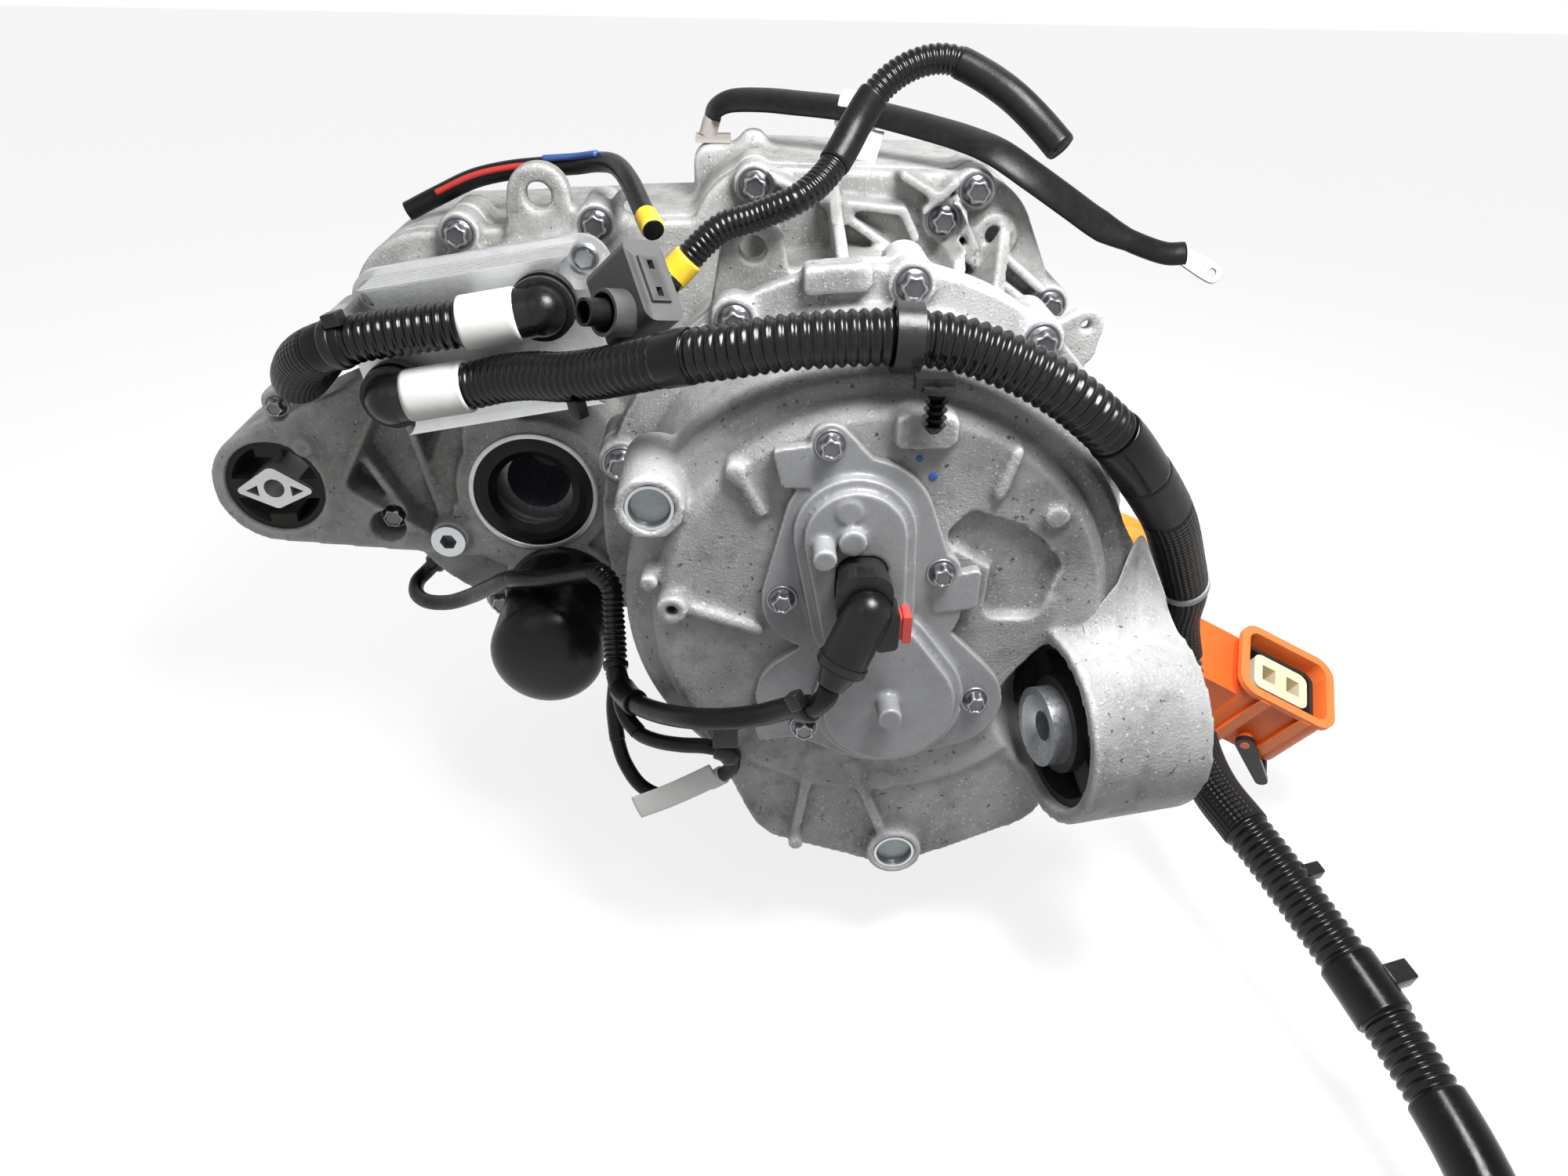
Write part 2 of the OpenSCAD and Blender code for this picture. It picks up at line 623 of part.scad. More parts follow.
module gearbox_solids() {
    lathe([[0, y_joint], [flange_r - 4, y_joint], [flange_r - 4, y_joint + 9], [barrel_r, y_joint + 12],
        [barrel_r, y_split], [0, y_split]]);
    plate(y_wall, y_split) case_wall_shape();
    for (a = flange_bolt_angles)
        rod(10.5, y_joint, y_joint + 24, flange_bolt_r * cos(a), flange_bolt_r * sin(a));
    for (p = case_bolt_spots) rod(10, y_wall - 5, y_split, p[0], p[1]);
    for (a = [110, 96, 70, 60, 38, 26, 8, -12, -34, -78]) gusset(a, barrel_r + (a > 50 ? 30 : 14));
    lathe([[0, y_wall - 22], [output_ring_r - 1, y_wall - 22], [output_ring_r, y_wall - 21],
        [output_ring_r + 1, y_wall - 16], [output_ring_r + 14, y_wall - 12], [output_ring_r + 22, y_wall + 1],
        [0, y_wall + 1]], diff_x, diff_z);
    rod(filter_r + 4, y_wall - 22, y_split, filter_at[0], filter_at[1]);
    at_xz(cooler_at) rotate([0, -cooler_tilt, 0]) plate(y_cooler, y_wall + 1)
        belt([[44, 22, 9], [-44, 22, 9], [-44, -22, 9], [44, -22, 9]]);
    arm();
    ear(-155, 134, 15, y_wall - 3, y_wall + 9, [-155, 108]);
    ear(-112, 128, 9, y_wall + 2, y_wall + 10, [-112, 108]);
    ear(-53, 128, 14, y_joint, y_joint + 12, [-53, 104]);
    ear(96, 96, 8, y_joint, y_joint + 8, [84, 84]);
    rod(11, y_wall - 4, y_split, 66, 118);
    for (rib = wall_ribs) plate(y_wall - 12, y_wall + 1) belt([[rib[0], rib[1], 2.2], [rib[2], rib[3], 2.2]]);
    rod(10, y_wall - 26, y_wall, diff_x - 47, diff_z - 26);
    rod(5, y_wall - 20, y_wall, diff_x - 40, diff_z - 12);
    plate(y_wall - 20, y_wall) belt([[diff_x - 26, diff_z - 39, 4], [diff_x - 8, diff_z - 45, 3]]);
    plate(y_joint + 6, y_joint + 38) belt([[122, -10, 4], [100, -10, 4], [100, -30, 4], [122, -30, 4]]);
}

module gearbox_housing() {
    color(cast_colour) difference() {
        gearbox_solids();
        rod(stator_r + press, y_joint - 1, y_core + core_len + 2);
        rod(stator_r - 4, y_joint, y_wall - 5);
        rod(motor_rear_bearing[1] + press, y_rear_bearing, y_split + 1);
        rod(27, y_wall - 6, y_split + 1);
        plate(y_wall + 7, y_split + 1) difference() {
            case_wall_shape(-case_wall);
            circle(motor_rear_bearing[1] + 7);
            translate([lay_x, lay_z]) circle(lay_bearing[1] + 6);
            translate([diff_x, diff_z]) circle(diff_bearing[1] + 6);
            for (p = case_bolt_spots) translate(p) circle(10);
        }
        rod(lay_bearing[1] + press, y_lay_front, y_split + 1, lay_x, lay_z);
        rod(lay_bearing[0] + 3, y_lay_front - 1.5, y_split + 1, lay_x, lay_z);
        rod(diff_bearing[1] + press, y_diff_front, y_split + 1, diff_x, diff_z);
        rod(diff_bearing[0] + 4, y_wall - 12, y_split + 1, diff_x, diff_z);
        rod(seal_r + press, y_wall - 23, y_wall - 11.9, diff_x, diff_z);
        rod(bush_r + press, bush_y - bush_len, bush_y + bush_len, bush_x, bush_z);
        rod(6.4, y_wall - 4, y_wall + 20, -155, 134);
        rod(3.8, y_wall - 4, y_wall + 20, -112, 128);
        rod(5.8, y_joint - 1, y_joint + 20, -53, 128);
        rod(2.5, y_joint - 1, y_joint + 20, 96, 96);
        rod(5, y_wall - 5, y_wall + 6, 66, 118);
        rod(7 + press, y_wall - 27, y_wall - 12, diff_x - 47, diff_z - 26);
        rod(filter_r * 0.35, y_wall - 23, y_wall - 8, filter_at[0], filter_at[1]);
        for (a = flange_bolt_angles)
            rod(bolt_r + press, y_joint - 1, y_joint + 21, flange_bolt_r * cos(a), flange_bolt_r * sin(a));
        for (p = case_bolt_spots) {
            rod(bolt_r + bolt_clear, y_wall - 6, y_split + 1, p[0], p[1]);
            rod(bolt_r * 2.1 + 0.8, y_wall - 45, y_wall - 5, p[0], p[1]);
        }
        rod(3 + press, bush_y - bush_len / 2 + 5, bush_y + 4, arm_bolt[0], arm_bolt[1]);
        rod(7, bush_y - bush_len / 2 - 4, bush_y - bush_len / 2 + 6, arm_bolt[0], arm_bolt[1]);
        for (p = cooler_screw_spots) at_xz(cooler_at) rotate([0, -cooler_tilt, 0])
            rod(small_bolt_r + press, y_cooler - 1, y_cooler + 14, p[0], p[1]);
    }
}

module case_bolts() {
    color(bolt_colour) {
        for (p = case_bolt_spots) at_xz(p) flange_bolt(bolt_r, y_wall - 5, wall_t + 20);
        at_xz(arm_bolt) flange_bolt(3, bush_y - bush_len / 2 + 6, 16);
    }
}

module drain_plug() {
    color(steel_colour) at_xz([diff_x - 47, diff_z - 26]) difference() {
        union() {
            rod(7, y_wall - 27, y_wall - 14);
            rod(9, y_wall - 29, y_wall - 26);
        }
        plate(y_wall - 30, y_wall - 22) circle(r = 4.6, $fn = 6);
    }
}

// Rear cover
module rear_cover() {
    color(cast_colour) difference() {
        union() {
            plate(y_split, y_back - 8) {
                belt(gear_loop);
                belt(motor_loop);
            }
            plate(y_back - 9, y_back) {
                belt(gear_loop, -6);
                belt(motor_loop, -6);
            }
            rod(diff_bearing[1] + 9, y_split, y_back + 12, diff_x, diff_z);
            for (p = case_bolt_spots) rod(10, y_split, y_split + 26, p[0], p[1]);
            for (a = [30, 65, 100, 320, 285, 250]) rotate([0, -a, 0])
                translate([40, y_back - 2, -3]) cube([60, 7, 6]);
            for (a = [60, 120, 180, 240, 300, 0]) at_xz([diff_x, diff_z]) rotate([0, -a, 0])
                translate([diff_bearing[1] + 6, y_back - 2, -3]) cube([18, 8, 6]);
            plate(y_split + 40, y_split + 58) belt([[-74, 140, 9], [-74, 122, 9], [-58, 122, 9], [-58, 140, 9]]);
            rod(8, y_split + 44, y_split + 56, -52, 148);
            rod(12.5, y_split + 27.3, y_split + 50, -270, 56);
            plate(y_split + 27.3, y_split + 50) belt([[-270, 56, 12], [-244, 46, 10], [-244, 66, 10]]);
        }
        plate(y_split - 1, y_split + 26) difference() {
            case_wall_shape(-case_wall);
            for (p = case_bolt_spots) translate(p) circle(10);
            belt([[case_bolt_spots[0][0], case_bolt_spots[0][1], 6], [case_bolt_spots[3][0], case_bolt_spots[3][1], 6]]);
        }
        plate(y_split + 25, y_back - 8) case_wall_shape(-case_wall);
        rod(diff_bearing[1] + press, y_diff_rear, y_back - 4, diff_x, diff_z);
        rod(diff_bearing[0] + 4, y_split, y_back + 14, diff_x, diff_z);
        rod(seal_r + press, y_back + 1, y_back + 13, diff_x, diff_z);
        for (p = case_bolt_spots) rod(bolt_r + press, y_split - 1, y_split + 22, p[0], p[1]);
    }
    color(cast_colour) difference() {
        rod(lay_bearing[1] + 6, y_lay_rear, y_back - 7, lay_x, lay_z);
        rod(lay_bearing[1] + press, y_lay_rear - 1, y_lay_rear + lay_bearing[2], lay_x, lay_z);
    }
    color(cast_colour) difference() {
        rod(diff_bearing[1] + 4.5, y_diff_rear, y_back - 7, diff_x, diff_z);
        rod(diff_bearing[1] + press, y_diff_rear - 1, y_back, diff_x, diff_z);
    }
}

module seal(y0, y1) {
    color(black_colour) lathe([
        [seal_bore_r, y0 + 3], [seal_bore_r + 4, y0], [seal_r - 3, y0 - 0.5], [seal_r, y0],
        [seal_r, y1], [seal_bore_r + 5, y1], [seal_bore_r + 4, y0 + 6]
    ], diff_x, diff_z);
}

module front_output_seal() {
    seal(y_wall - 22.5, y_wall - 12);
}

module rear_output_seal() {
    color(black_colour) translate([0, 2 * y_back + 24.5, 0]) mirror([0, 1, 0])
        translate([0, y_back + 12, 0]) lathe([
            [seal_bore_r, 3], [seal_bore_r + 4, 0], [seal_r - 3, -0.5], [seal_r, 0],
            [seal_r, 10.5], [seal_bore_r + 5, 10.5], [seal_bore_r + 4, 6]
        ], diff_x, diff_z);
}

// Stator and rotation sensor
module stator_core() {
    color([0.35, 0.36, 0.4]) difference() {
        rod(stator_r, y_core, y_core + core_len);
        rod(stator_bore_r, y_core - 1, y_core + core_len + 1);
        plate(y_core - 1, y_core + core_len + 1) for (i = [0:slot_count - 1]) rotate(360 / slot_count * i)
            translate([stator_bore_r + 2, -2]) square([18, 4]);
    }
}

module stator_windings() {
    color(copper_colour) {
        for (s = [0, 1]) {
            y0 = s == 0 ? y_core - winding_out : y_core + core_len;
            lathe([[stator_bore_r + 5, y0 + 2], [stator_bore_r + 7, y0], [stator_bore_r + 18, y0],
                [stator_bore_r + 20, y0 + 2], [stator_bore_r + 20, y0 + winding_out - 2],
                [stator_bore_r + 18, y0 + winding_out], [stator_bore_r + 7, y0 + winding_out],
                [stator_bore_r + 5, y0 + winding_out - 2]]);
        }
    }
}

module sensor_ring() {
    color([0.5, 0.42, 0.3]) ring(18.5, 27 - press, y_face + 1, y_face + 9);
}

module bearing_outer(bearing, y, x = 0, z = 0) {
    mid = (bearing[0] + bearing[1]) / 2;
    ring(mid + 0.2, bearing[1], y, y + bearing[2], x, z);
}

module bearing_inner(bearing, y, x = 0, z = 0) {
    mid = (bearing[0] + bearing[1]) / 2;
    ring(bearing[0], mid - 0.2, y, y + bearing[2], x, z);
}

module bearing_outer_rings() {
    color(steel_colour) {
        bearing_outer(motor_front_bearing, y_front_bearing);
        bearing_outer(motor_rear_bearing, y_rear_bearing);
        bearing_outer(lay_bearing, y_lay_front, lay_x, lay_z);
        bearing_outer(lay_bearing, y_lay_rear, lay_x, lay_z);
        bearing_outer(diff_bearing, y_diff_front, diff_x, diff_z);
        bearing_outer(diff_bearing, y_diff_rear, diff_x, diff_z);
    }
}

// Rotor
module rotor_shaft() {
    color(steel_colour) union() {
        lathe([
            [0, y_face - 1], [9, y_face - 1], [10, y_face], [10, y_face + 11], [motor_front_bearing[0] - press, y_face + 11],
            [motor_front_bearing[0] - press, y_front_bearing + motor_front_bearing[2] + 1], [shaft_r, y_front_bearing + motor_front_bearing[2] + 1],
            [shaft_r, y_rear_bearing - 2], [motor_rear_bearing[0] - press, y_rear_bearing - 2],
            [motor_rear_bearing[0] - press, y_wheel], [12, y_wheel], [12, y_wheel + gear_width + 2], [0, y_wheel + gear_width + 2]
        ]);
        plate(y_wheel, y_wheel + gear_width) polygon(gear_points(pinion_teeth, to_lay));
    }
}

module rotor_core() {
    color([0.4, 0.41, 0.45]) difference() {
        rod(rotor_r, y_core, y_core + core_len);
        rod(shaft_r + press, y_core - 1, y_core + core_len + 1);
        plate(y_core - 1, y_core + core_len + 1) for (i = [0:7]) rotate(45 * i) {
            translate([rotor_r - 26, 0]) circle(6);
        }
    }
}

module rotor_end_plates() {
    color([0.75, 0.75, 0.72]) for (y = [y_core - 6.1, y_core + core_len + 0.1])
        ring(shaft_r + press, rotor_r - 3, y, y + 6);
}

module sensor_target() {
    color(steel_colour) difference() {
        plate(y_face + 1, y_face + 9) polygon([for (i = [0:47]) let (a = i * 7.5, s = 16.4 + 0.9 * cos(4 * a)) [s * cos(a), s * sin(a)]]);
        rod(10 + press, y_face, y_face + 10);
    }
}

module rotor_inner_rings() {
    color(steel_colour) {
        bearing_inner(motor_front_bearing, y_front_bearing);
        bearing_inner(motor_rear_bearing, y_rear_bearing);
    }
}

// Layshaft
module layshaft() {
    color(steel_colour) at_xz([lay_x, lay_z]) union() {
        lathe([
            [0, y_lay_front - 1], [lay_bearing[0] - press, y_lay_front - 1], [lay_bearing[0] - press, y_split + 1], [16, y_split + 1],
            [16, y_final - 2], [18, y_final - 2], [18, y_final + gear_width], [lay_bearing[0] - press, y_final + gear_width + 2],
            [lay_bearing[0] - press, y_lay_rear + lay_bearing[2]], [0, y_lay_rear + lay_bearing[2]]
        ]);
        plate(y_final, y_final + gear_width) polygon(gear_points(final_teeth, to_diff));
    }
}

module layshaft_wheel() {
    color(steel_colour) at_xz([lay_x, lay_z]) difference() {
        plate(y_wheel, y_wheel + gear_width) polygon(gear_points(wheel_teeth, to_lay + 180 + 180 / wheel_teeth));
        rod(16 + press, y_wheel - 1, y_wheel + gear_width + 1);
        ring(26, wheel_r - 14, y_wheel - 1, y_wheel + 7);
        ring(26, wheel_r - 14, y_wheel + gear_width - 7, y_wheel + gear_width + 1);
        for (i = [0:5]) rod(9, y_wheel, y_wheel + gear_width, 41 * cos(60 * i), 41 * sin(60 * i));
    }
}

module layshaft_inner_rings() {
    color(steel_colour) {
        bearing_inner(lay_bearing, y_lay_front, lay_x, lay_z);
        bearing_inner(lay_bearing, y_lay_rear, lay_x, lay_z);
    }
}

// Differential
module differential_case() {
    color(dark_cast_colour) difference() {
        lathe([
            [0, y_diff_front - 3], [diff_bearing[0] - press, y_diff_front - 3], [diff_bearing[0] - press, y_wheel + gear_width],
            [34, y_wheel + gear_width + 4], [44, y_final + 1], [50, y_final + 4], [50, y_final + gear_width],
            [60, y_final + gear_width], [60, y_final + gear_width + 8], [40, y_final + gear_width + 8],
            [diff_bearing[0] - press, y_diff_rear - 2], [diff_bearing[0] - press, y_diff_rear + diff_bearing[2]],
            [0, y_diff_rear + diff_bearing[2]]
        ], diff_x, diff_z);
        rod(17, y_diff_front - 4, y_final - 2, diff_x, diff_z);
        rod(17, y_final + gear_width, y_back, diff_x, diff_z);
        for (i = [0:7]) at_xz([diff_x, diff_z])
            rod(bolt_r + bolt_clear, y_final + gear_width - 1, y_final + gear_width + 9, 55 * cos(45 * i), 55 * sin(45 * i));
    }
}

module ring_gear() {
    color(steel_colour) at_xz([diff_x, diff_z]) difference() {
        plate(y_final, y_final + gear_width - 0.05) polygon(gear_points(ring_teeth, to_diff + 180 + 180 / ring_teeth));
        rod(50 + press, y_final - 1, y_final + gear_width + 1);
        for (i = [0:7]) rod(bolt_r + press, y_final + 8, y_final + gear_width + 1, 55 * cos(45 * i), 55 * sin(45 * i));
    }
}

module ring_gear_bolts() {
    color(bolt_colour) at_xz([diff_x, diff_z]) for (i = [0:7]) at_xz(55 * [cos(45 * i), sin(45 * i)])
        translate([0, 2 * (y_final + gear_width + 8), 0]) mirror([0, 1, 0])
            translate([0, 0, 0]) flange_bolt(bolt_r, y_final + gear_width + 8, 20);
}

module differential_inner_rings() {
    color(steel_colour) {
        bearing_inner(diff_bearing, y_diff_front, diff_x, diff_z);
        bearing_inner(diff_bearing, y_diff_rear, diff_x, diff_z);
    }
}

// Bushes
module arm_bush_rubber() {
    color(rubber_colour) at_xz([bush_x, bush_z]) plate(bush_y - bush_len / 2 + 3, bush_y + bush_len / 2 - 3) difference() {
        union() {
            difference() {
                circle(bush_r);
                circle(bush_r - 3);
            }
            translate([-bush_r + 1, -7]) square([2 * bush_r - 2, 11]);
            for (s = [0, 1]) mirror([0, s]) translate([-7, bush_r - 9]) square([14, 8]);
        }
        belt([[-17, -1.5, 2], [0, -8, 3.5], [17, -1.5, 2], [0, 6.5, 5]], press);
    }
}

module arm_bush_core() {
    color(cast_colour) at_xz([bush_x, bush_z]) difference() {
        plate(bush_y - bush_len / 2, bush_y + bush_len / 2) difference() {
            belt([[-17, -1.5, 2], [0, -8, 3.5], [17, -1.5, 2], [0, 6.5, 5]]);
            for (s = [-1, 1]) polygon([[s * 8.5, 1.6], [s * 8.5, -4.6], [s * 15, -1.5]]);
        }
        rod(bush_bore_r, bush_y - bush_len, bush_y + bush_len);
    }
}

module lug_bush_rubber() {
    color(rubber_colour) in_lug() difference() {
        union() {
            difference() {
                lug_rod(lug_r - press, 5, lug_len - 5);
                lug_rod(lug_r - 3.5, 4, lug_len - 4);
            }
            difference() {
                lug_rod(sleeve_r + 4, 3, lug_len - 3);
            }
            for (s = [-1, 1]) rotate([s * 62, 0, 0]) translate([8, -7, sleeve_r + 2])
                cube([lug_len - 16, 14, lug_r - sleeve_r - 4]);
            for (s = [0, 180]) rotate([s + 25, 0, 0]) translate([10, -9, -lug_r + 2]) cube([lug_len - 20, 18, 9]);
            for (s = [-1, 1]) rotate([s * 118, 0, 0]) translate([8, -7, sleeve_r + 2])
                cube([lug_len - 16, 14, lug_r - sleeve_r - 4]);
        }
        lug_rod(sleeve_r + press, 0, lug_len);
    }
}

module lug_bush_sleeve() {
    color(steel_colour) in_lug() difference() {
        lug_rod(sleeve_r, -5, lug_len + 3);
        lug_rod(sleeve_bore_r, -6, lug_len + 4);
        translate([-5.1, 0, 0]) rotate([0, 90, 0]) cylinder(r1 = sleeve_r - 3, r2 = sleeve_bore_r, h = 3);
    }
}

// Oil cooler and filter
cooler_screw_spots = [[50, 27], [-50, 27], [-50, -27], [50, -27]];

module in_cooler() {
    at_xz(cooler_at) rotate([0, -cooler_tilt, 0]) children();
}

module cooler_outline(grow = 0) {
    w = cooler_w / 2 - 12;
    h = cooler_h / 2 - 12;
    belt([[w, h, 12], [-w, h, 12], [-w, -h, 12], [w, -h, 12]], grow);
}

module oil_cooler() {
    color(steel_colour) in_cooler() difference() {
        union() {
            plate(y_cooler - 4, y_cooler) cooler_outline(2);
            for (k = [0:6]) plate(y_cooler - cooler_t + k * (cooler_t - 3) / 7, y_cooler - cooler_t + (k + 0.7) * (cooler_t - 3) / 7)
                cooler_outline(-0.4);
            plate(y_cooler - cooler_t + 0.5, y_cooler - 3) cooler_outline(-1.4);
            for (p = [upper_port, lower_port]) rod(11, y_cooler - cooler_t - 6, y_cooler - cooler_t + 2, p[0], p[1]);
        }
        for (p = [upper_port, lower_port]) rod(8, y_cooler - cooler_t - 7, y_cooler - cooler_t + 8, p[0], p[1]);
        for (p = cooler_screw_spots) rod(small_bolt_r + bolt_clear, y_cooler - 5, y_cooler + 1, p[0], p[1]);
        for (p = cooler_screw_spots) rod(8, y_cooler - cooler_t - 1, y_cooler - 4, p[0], p[1]);
    }
}

module cooler_screws() {
    color(bolt_colour) in_cooler() for (p = cooler_screw_spots) at_xz(p) flange_bolt(small_bolt_r, y_cooler - 4, 14);
}

// Quick connector at a cooler port, its outlet turned to the side
module elbow(port, side) {
    y0 = y_cooler - cooler_t - 6;
    color(black_colour) in_cooler() translate([port[0], 0, port[1]]) difference() {
        union() {
            lathe([[11.3, y0 - 12], [14, y0 - 12], [14, y0 - 9], [13, y0 - 9], [13, y0 - 6], [14.5, y0 - 6], [14.5, y0 - 2],
                [13, y0 - 2], [13, y0 + 4], [11.3, y0 + 4]]);
            rod(11.5, y0 - 12, y0 - 0.2);
            translate([0, y0 - 12, 0]) sphere(11.5);
            translate([0, y0 - 12, 0]) rotate([0, side * 90, 0]) cylinder(r = 11, h = 22);
        }
        translate([0, y0 - 12, 0]) rotate([0, side * 90, 0]) cylinder(r = 7, h = 23);
        rod(7, y0 - 12, y0 + 1);
    }
}

module upper_elbow() {
    elbow(upper_port, -1);
}

module lower_elbow() {
    elbow(lower_port, 1);
}

module oil_filter() {
    color(black_colour) lathe([
        [0, y_filter], [filter_r * 0.6, y_filter + 2], [filter_r * 0.88, y_filter + 8], [filter_r, y_filter + 18],
        [filter_r, y_wall - 27], [filter_r + 1.5, y_wall - 26], [filter_r + 1.5, y_wall - 22.3], [filter_r * 0.6, y_wall - 22.3],
        [filter_r * 0.3, y_wall - 22.3], [filter_r * 0.3, y_wall - 10], [0, y_wall - 10]
    ], filter_at[0], filter_at[1]);
}

// Plugs and connectors of the wiring
collar_at = [8, 1];

module in_connector() {
    translate([-101.8, 72.0, 114.9]) rotate([-18.9, 47.2, -61.6]) children();
}

module harness_connector() {
    color([0.2, 0.2, 0.21]) in_connector() difference() {
        union() {
            translate([0, 0, -14]) linear_extrude(height = 28) belt([[13, 5, 5], [-13, 5, 5], [-13, -5, 5], [13, -5, 5]]);
            translate([collar_at[0], -8, collar_at[1]]) rotate([90, 0, 0]) cylinder(r = 9.5, h = 12);
            translate([-10, -5, -10]) cube([20, 10, 25.5]);
        }
        translate([collar_at[0], -12, collar_at[1]]) rotate([90, 0, 0]) cylinder(r = 8, h = 9);
        for (s = [-1, 1]) translate([s * 6 - 2, -1.5, 12]) cube([4, 3, 4]);
        translate([-11, -6, -15]) cube([22, 12, 12]);
    }
}

module connector_pigtail() {
    color(black_colour) in_connector() translate([collar_at[0], -12.1, collar_at[1]]) rotate([90, 0, 0]) difference() {
        cylinder(r = 5.6, h = 17);
        translate([0, 0, 12]) cylinder(r = 4.4, h = 6);
    }
}

module in_hv() {
    translate([221, 104, -109]) rotate([18, 24, -12]) children();
}

module hv_gland() {
    color(black_colour) for (s = [-0.5, 0.5]) translate([126.1, y_joint + 22 + s * hv_pitch, -20]) rotate([0, 90, 0]) {
        cylinder(r = 7.2, h = 3);
        cylinder(r = 6.6, h = 5.8);
    }
}

lever_pivot = [8, -12];
lever_tip = [34.2, -32.2];
pivot_r = 2.5;
hv_mouth = [[18, 13, 9], [-18, 13, 9], [-18, -13, 9], [18, -13, 9]];

module hv_connector() {
    color(orange_colour) in_hv() difference() {
        union() {
            translate([-52, -20, -22]) cube([40, 40, 34]);
            translate([-56, -22, -10]) cube([10, 44, 24]);
            translate([8, 0, -22]) linear_extrude(height = 44) belt(hv_mouth);
            translate([8, 0, 19]) linear_extrude(height = 3) belt(hv_mouth, 2);
            for (s = [-12, 12]) translate([8 + s - 3, -24.5, -22]) cube([6, 6, 42]);
            for (s = [0, 1]) mirror([0, s, 0]) {
                rod(4, 20, 24.9, lever_pivot[0], lever_pivot[1]);
                rod(pivot_r, 20, 28.6, lever_pivot[0], lever_pivot[1]);
            }
        }
        translate([8, 0, -6]) linear_extrude(height = 30) belt(hv_mouth, -3);
        translate([-46, -12, -16]) cube([26, 24, 20]);
    }
}

module hv_seal() {
    color(black_colour) in_hv() translate([8, 0, 4]) linear_extrude(height = 8) difference() {
        belt(hv_mouth, -3.25);
        belt(hv_mouth, -5.6);
    }
}

module hv_insert() {
    color([0.87, 0.84, 0.7]) in_hv() translate([8, 0, -6]) difference() {
        linear_extrude(height = 22) belt([[11.5, 6.5, 5], [-11.5, 6.5, 5], [-11.5, -6.5, 5], [11.5, -6.5, 5]]);
        for (s = [-7.5, 7.5]) translate([s - 4, -5, 6]) cube([8, 10, 17]);
    }
}

module hv_lever() {
    color(black_colour) in_hv() difference() {
        union() {
            for (y = [-28.2, 25.2]) plate(y, y + 3)
                belt([[lever_pivot[0], lever_pivot[1], 5], [lever_tip[0], lever_tip[1], 3.4]]);
            rod(2.9, -27, 27, lever_tip[0], lever_tip[1]);
        }
        rod(pivot_r + 0.05, -30, 30, lever_pivot[0], lever_pivot[1]);
    }
}

module strap_lug() {
    color([0.8, 0.8, 0.78]) {
        translate([-82, y_split + 44, 149.3]) cube([18, 14, 3]);
        translate([-76, y_split + 51, 152]) rotate([0, 18, 0]) cylinder(r = 4.5, h = 8.4);
    }
}

module strap_end_lug() {
    color([0.8, 0.8, 0.78]) difference() {
        union() {
            translate([158.2, 160, 113]) rotate([0, 90, 0]) cylinder(r = 3.4, h = 8);
            translate([164, 153, 111]) rotate([0, 28, 0]) cube([18, 14, 2.5]);
        }
        translate([175, 160, 95]) rotate([0, 28, 0]) cylinder(r = 3.3, h = 20);
    }
}

module harness_gland() {
    color(black_colour) translate([-244, 205, -88]) rotate([0, 225, 0]) translate([0, 0, -20]) cylinder(r = 6.5, h = 19.8);
}

// Turns the Z axis to a direction
module facing(ahead) {
    rotate([0, acos(ahead[2]), atan2(ahead[1], ahead[0])]) children();
}

module hose_clip() {
    color(black_colour) {
        translate(hose_route[11]) facing(heading(hose_route, 11)) translate([0, 0, -5]) difference() {
            cylinder(r = hose_d / 2 + 2.4, h = 10);
            translate([0, 0, -1]) cylinder(r = hose_d / 2 + 0.4, h = 12);
        }
        translate([12, -8, 90]) {
            for (k = [0:4]) translate([0, 0, 3 * k]) cylinder(r1 = 2, r2 = 4.4, h = 3);
            translate([0, 0, 14.5]) cylinder(r = 2, h = 6);
            translate([0, 0, 16]) cylinder(r = 6, h = 2);
        }
        translate([4, -9.5, 106]) cube([14, 7, 5]);
    }
}

module hose_fitting() {
    end = hose_route[len(hose_route) - 1];
    ahead = heading(hose_route, len(hose_route) - 1);
    color(black_colour) translate(end) facing(ahead) translate([0, 0, 0.2]) difference() {
        union() {
            cylinder(r = 12, h = 14);
            translate([0, 0, 14]) cylinder(r = 14.5, h = 18);
            translate([0, 0, 30]) cylinder(r = 13, h = 6);
        }
        translate([0, 0, 16]) cylinder(r = 9, h = 30);
    }
}

module hose_port() {
    color(black_colour) rod(12.5, 200.2, y_split + 27, -270, 56);
}

// Cords
module coolant_hose() {
    color(black_colour) swept(hose_route, hose_d / 2, hose_d / 2, 12, [0.3, 1, 0.6]);
}

module upper_hose() {
    color(black_colour) swept(upper_route, hose_d / 2, hose_d / 2, 12, [0, 0.3, 1]);
}

module signal_conduit() {
    color(black_colour) swept(conduit_route, conduit_r, conduit_r, 10, [0.1, 1, 0]);
}

module ground_strap() {
    color(black_colour) swept(strap_route, strap_w / 2, strap_t / 2, 10, [0, 0.52, 0.855]);
}

module sensor_harness() {
    color(black_colour) swept(harness_route, harness_r, harness_r, 8, [0.9, 0.3, -0.5]);
}

module harness_branch() {
    color(black_colour) swept(branch_route, branch_r, branch_r, 8, [0.1, 1, 0.3]);
}

module hv_cables() {
    color(orange_colour) for (s = [-0.5, 0.5])
        swept([for (i = [0:len(hv_route) - 1]) hv_route[i] + s * hv_pitch * (i < 5 ? [0, 1, 0] : hv_side)],
            hv_cable_r, hv_cable_r, 12, [0, 1, 0.1]);
}

module top_loom() {
    color(black_colour) swept(loom_route, loom_r, loom_r, 8, [0, 0.1, 1]);
}

module seated() {
    translate(-origin) children();
}

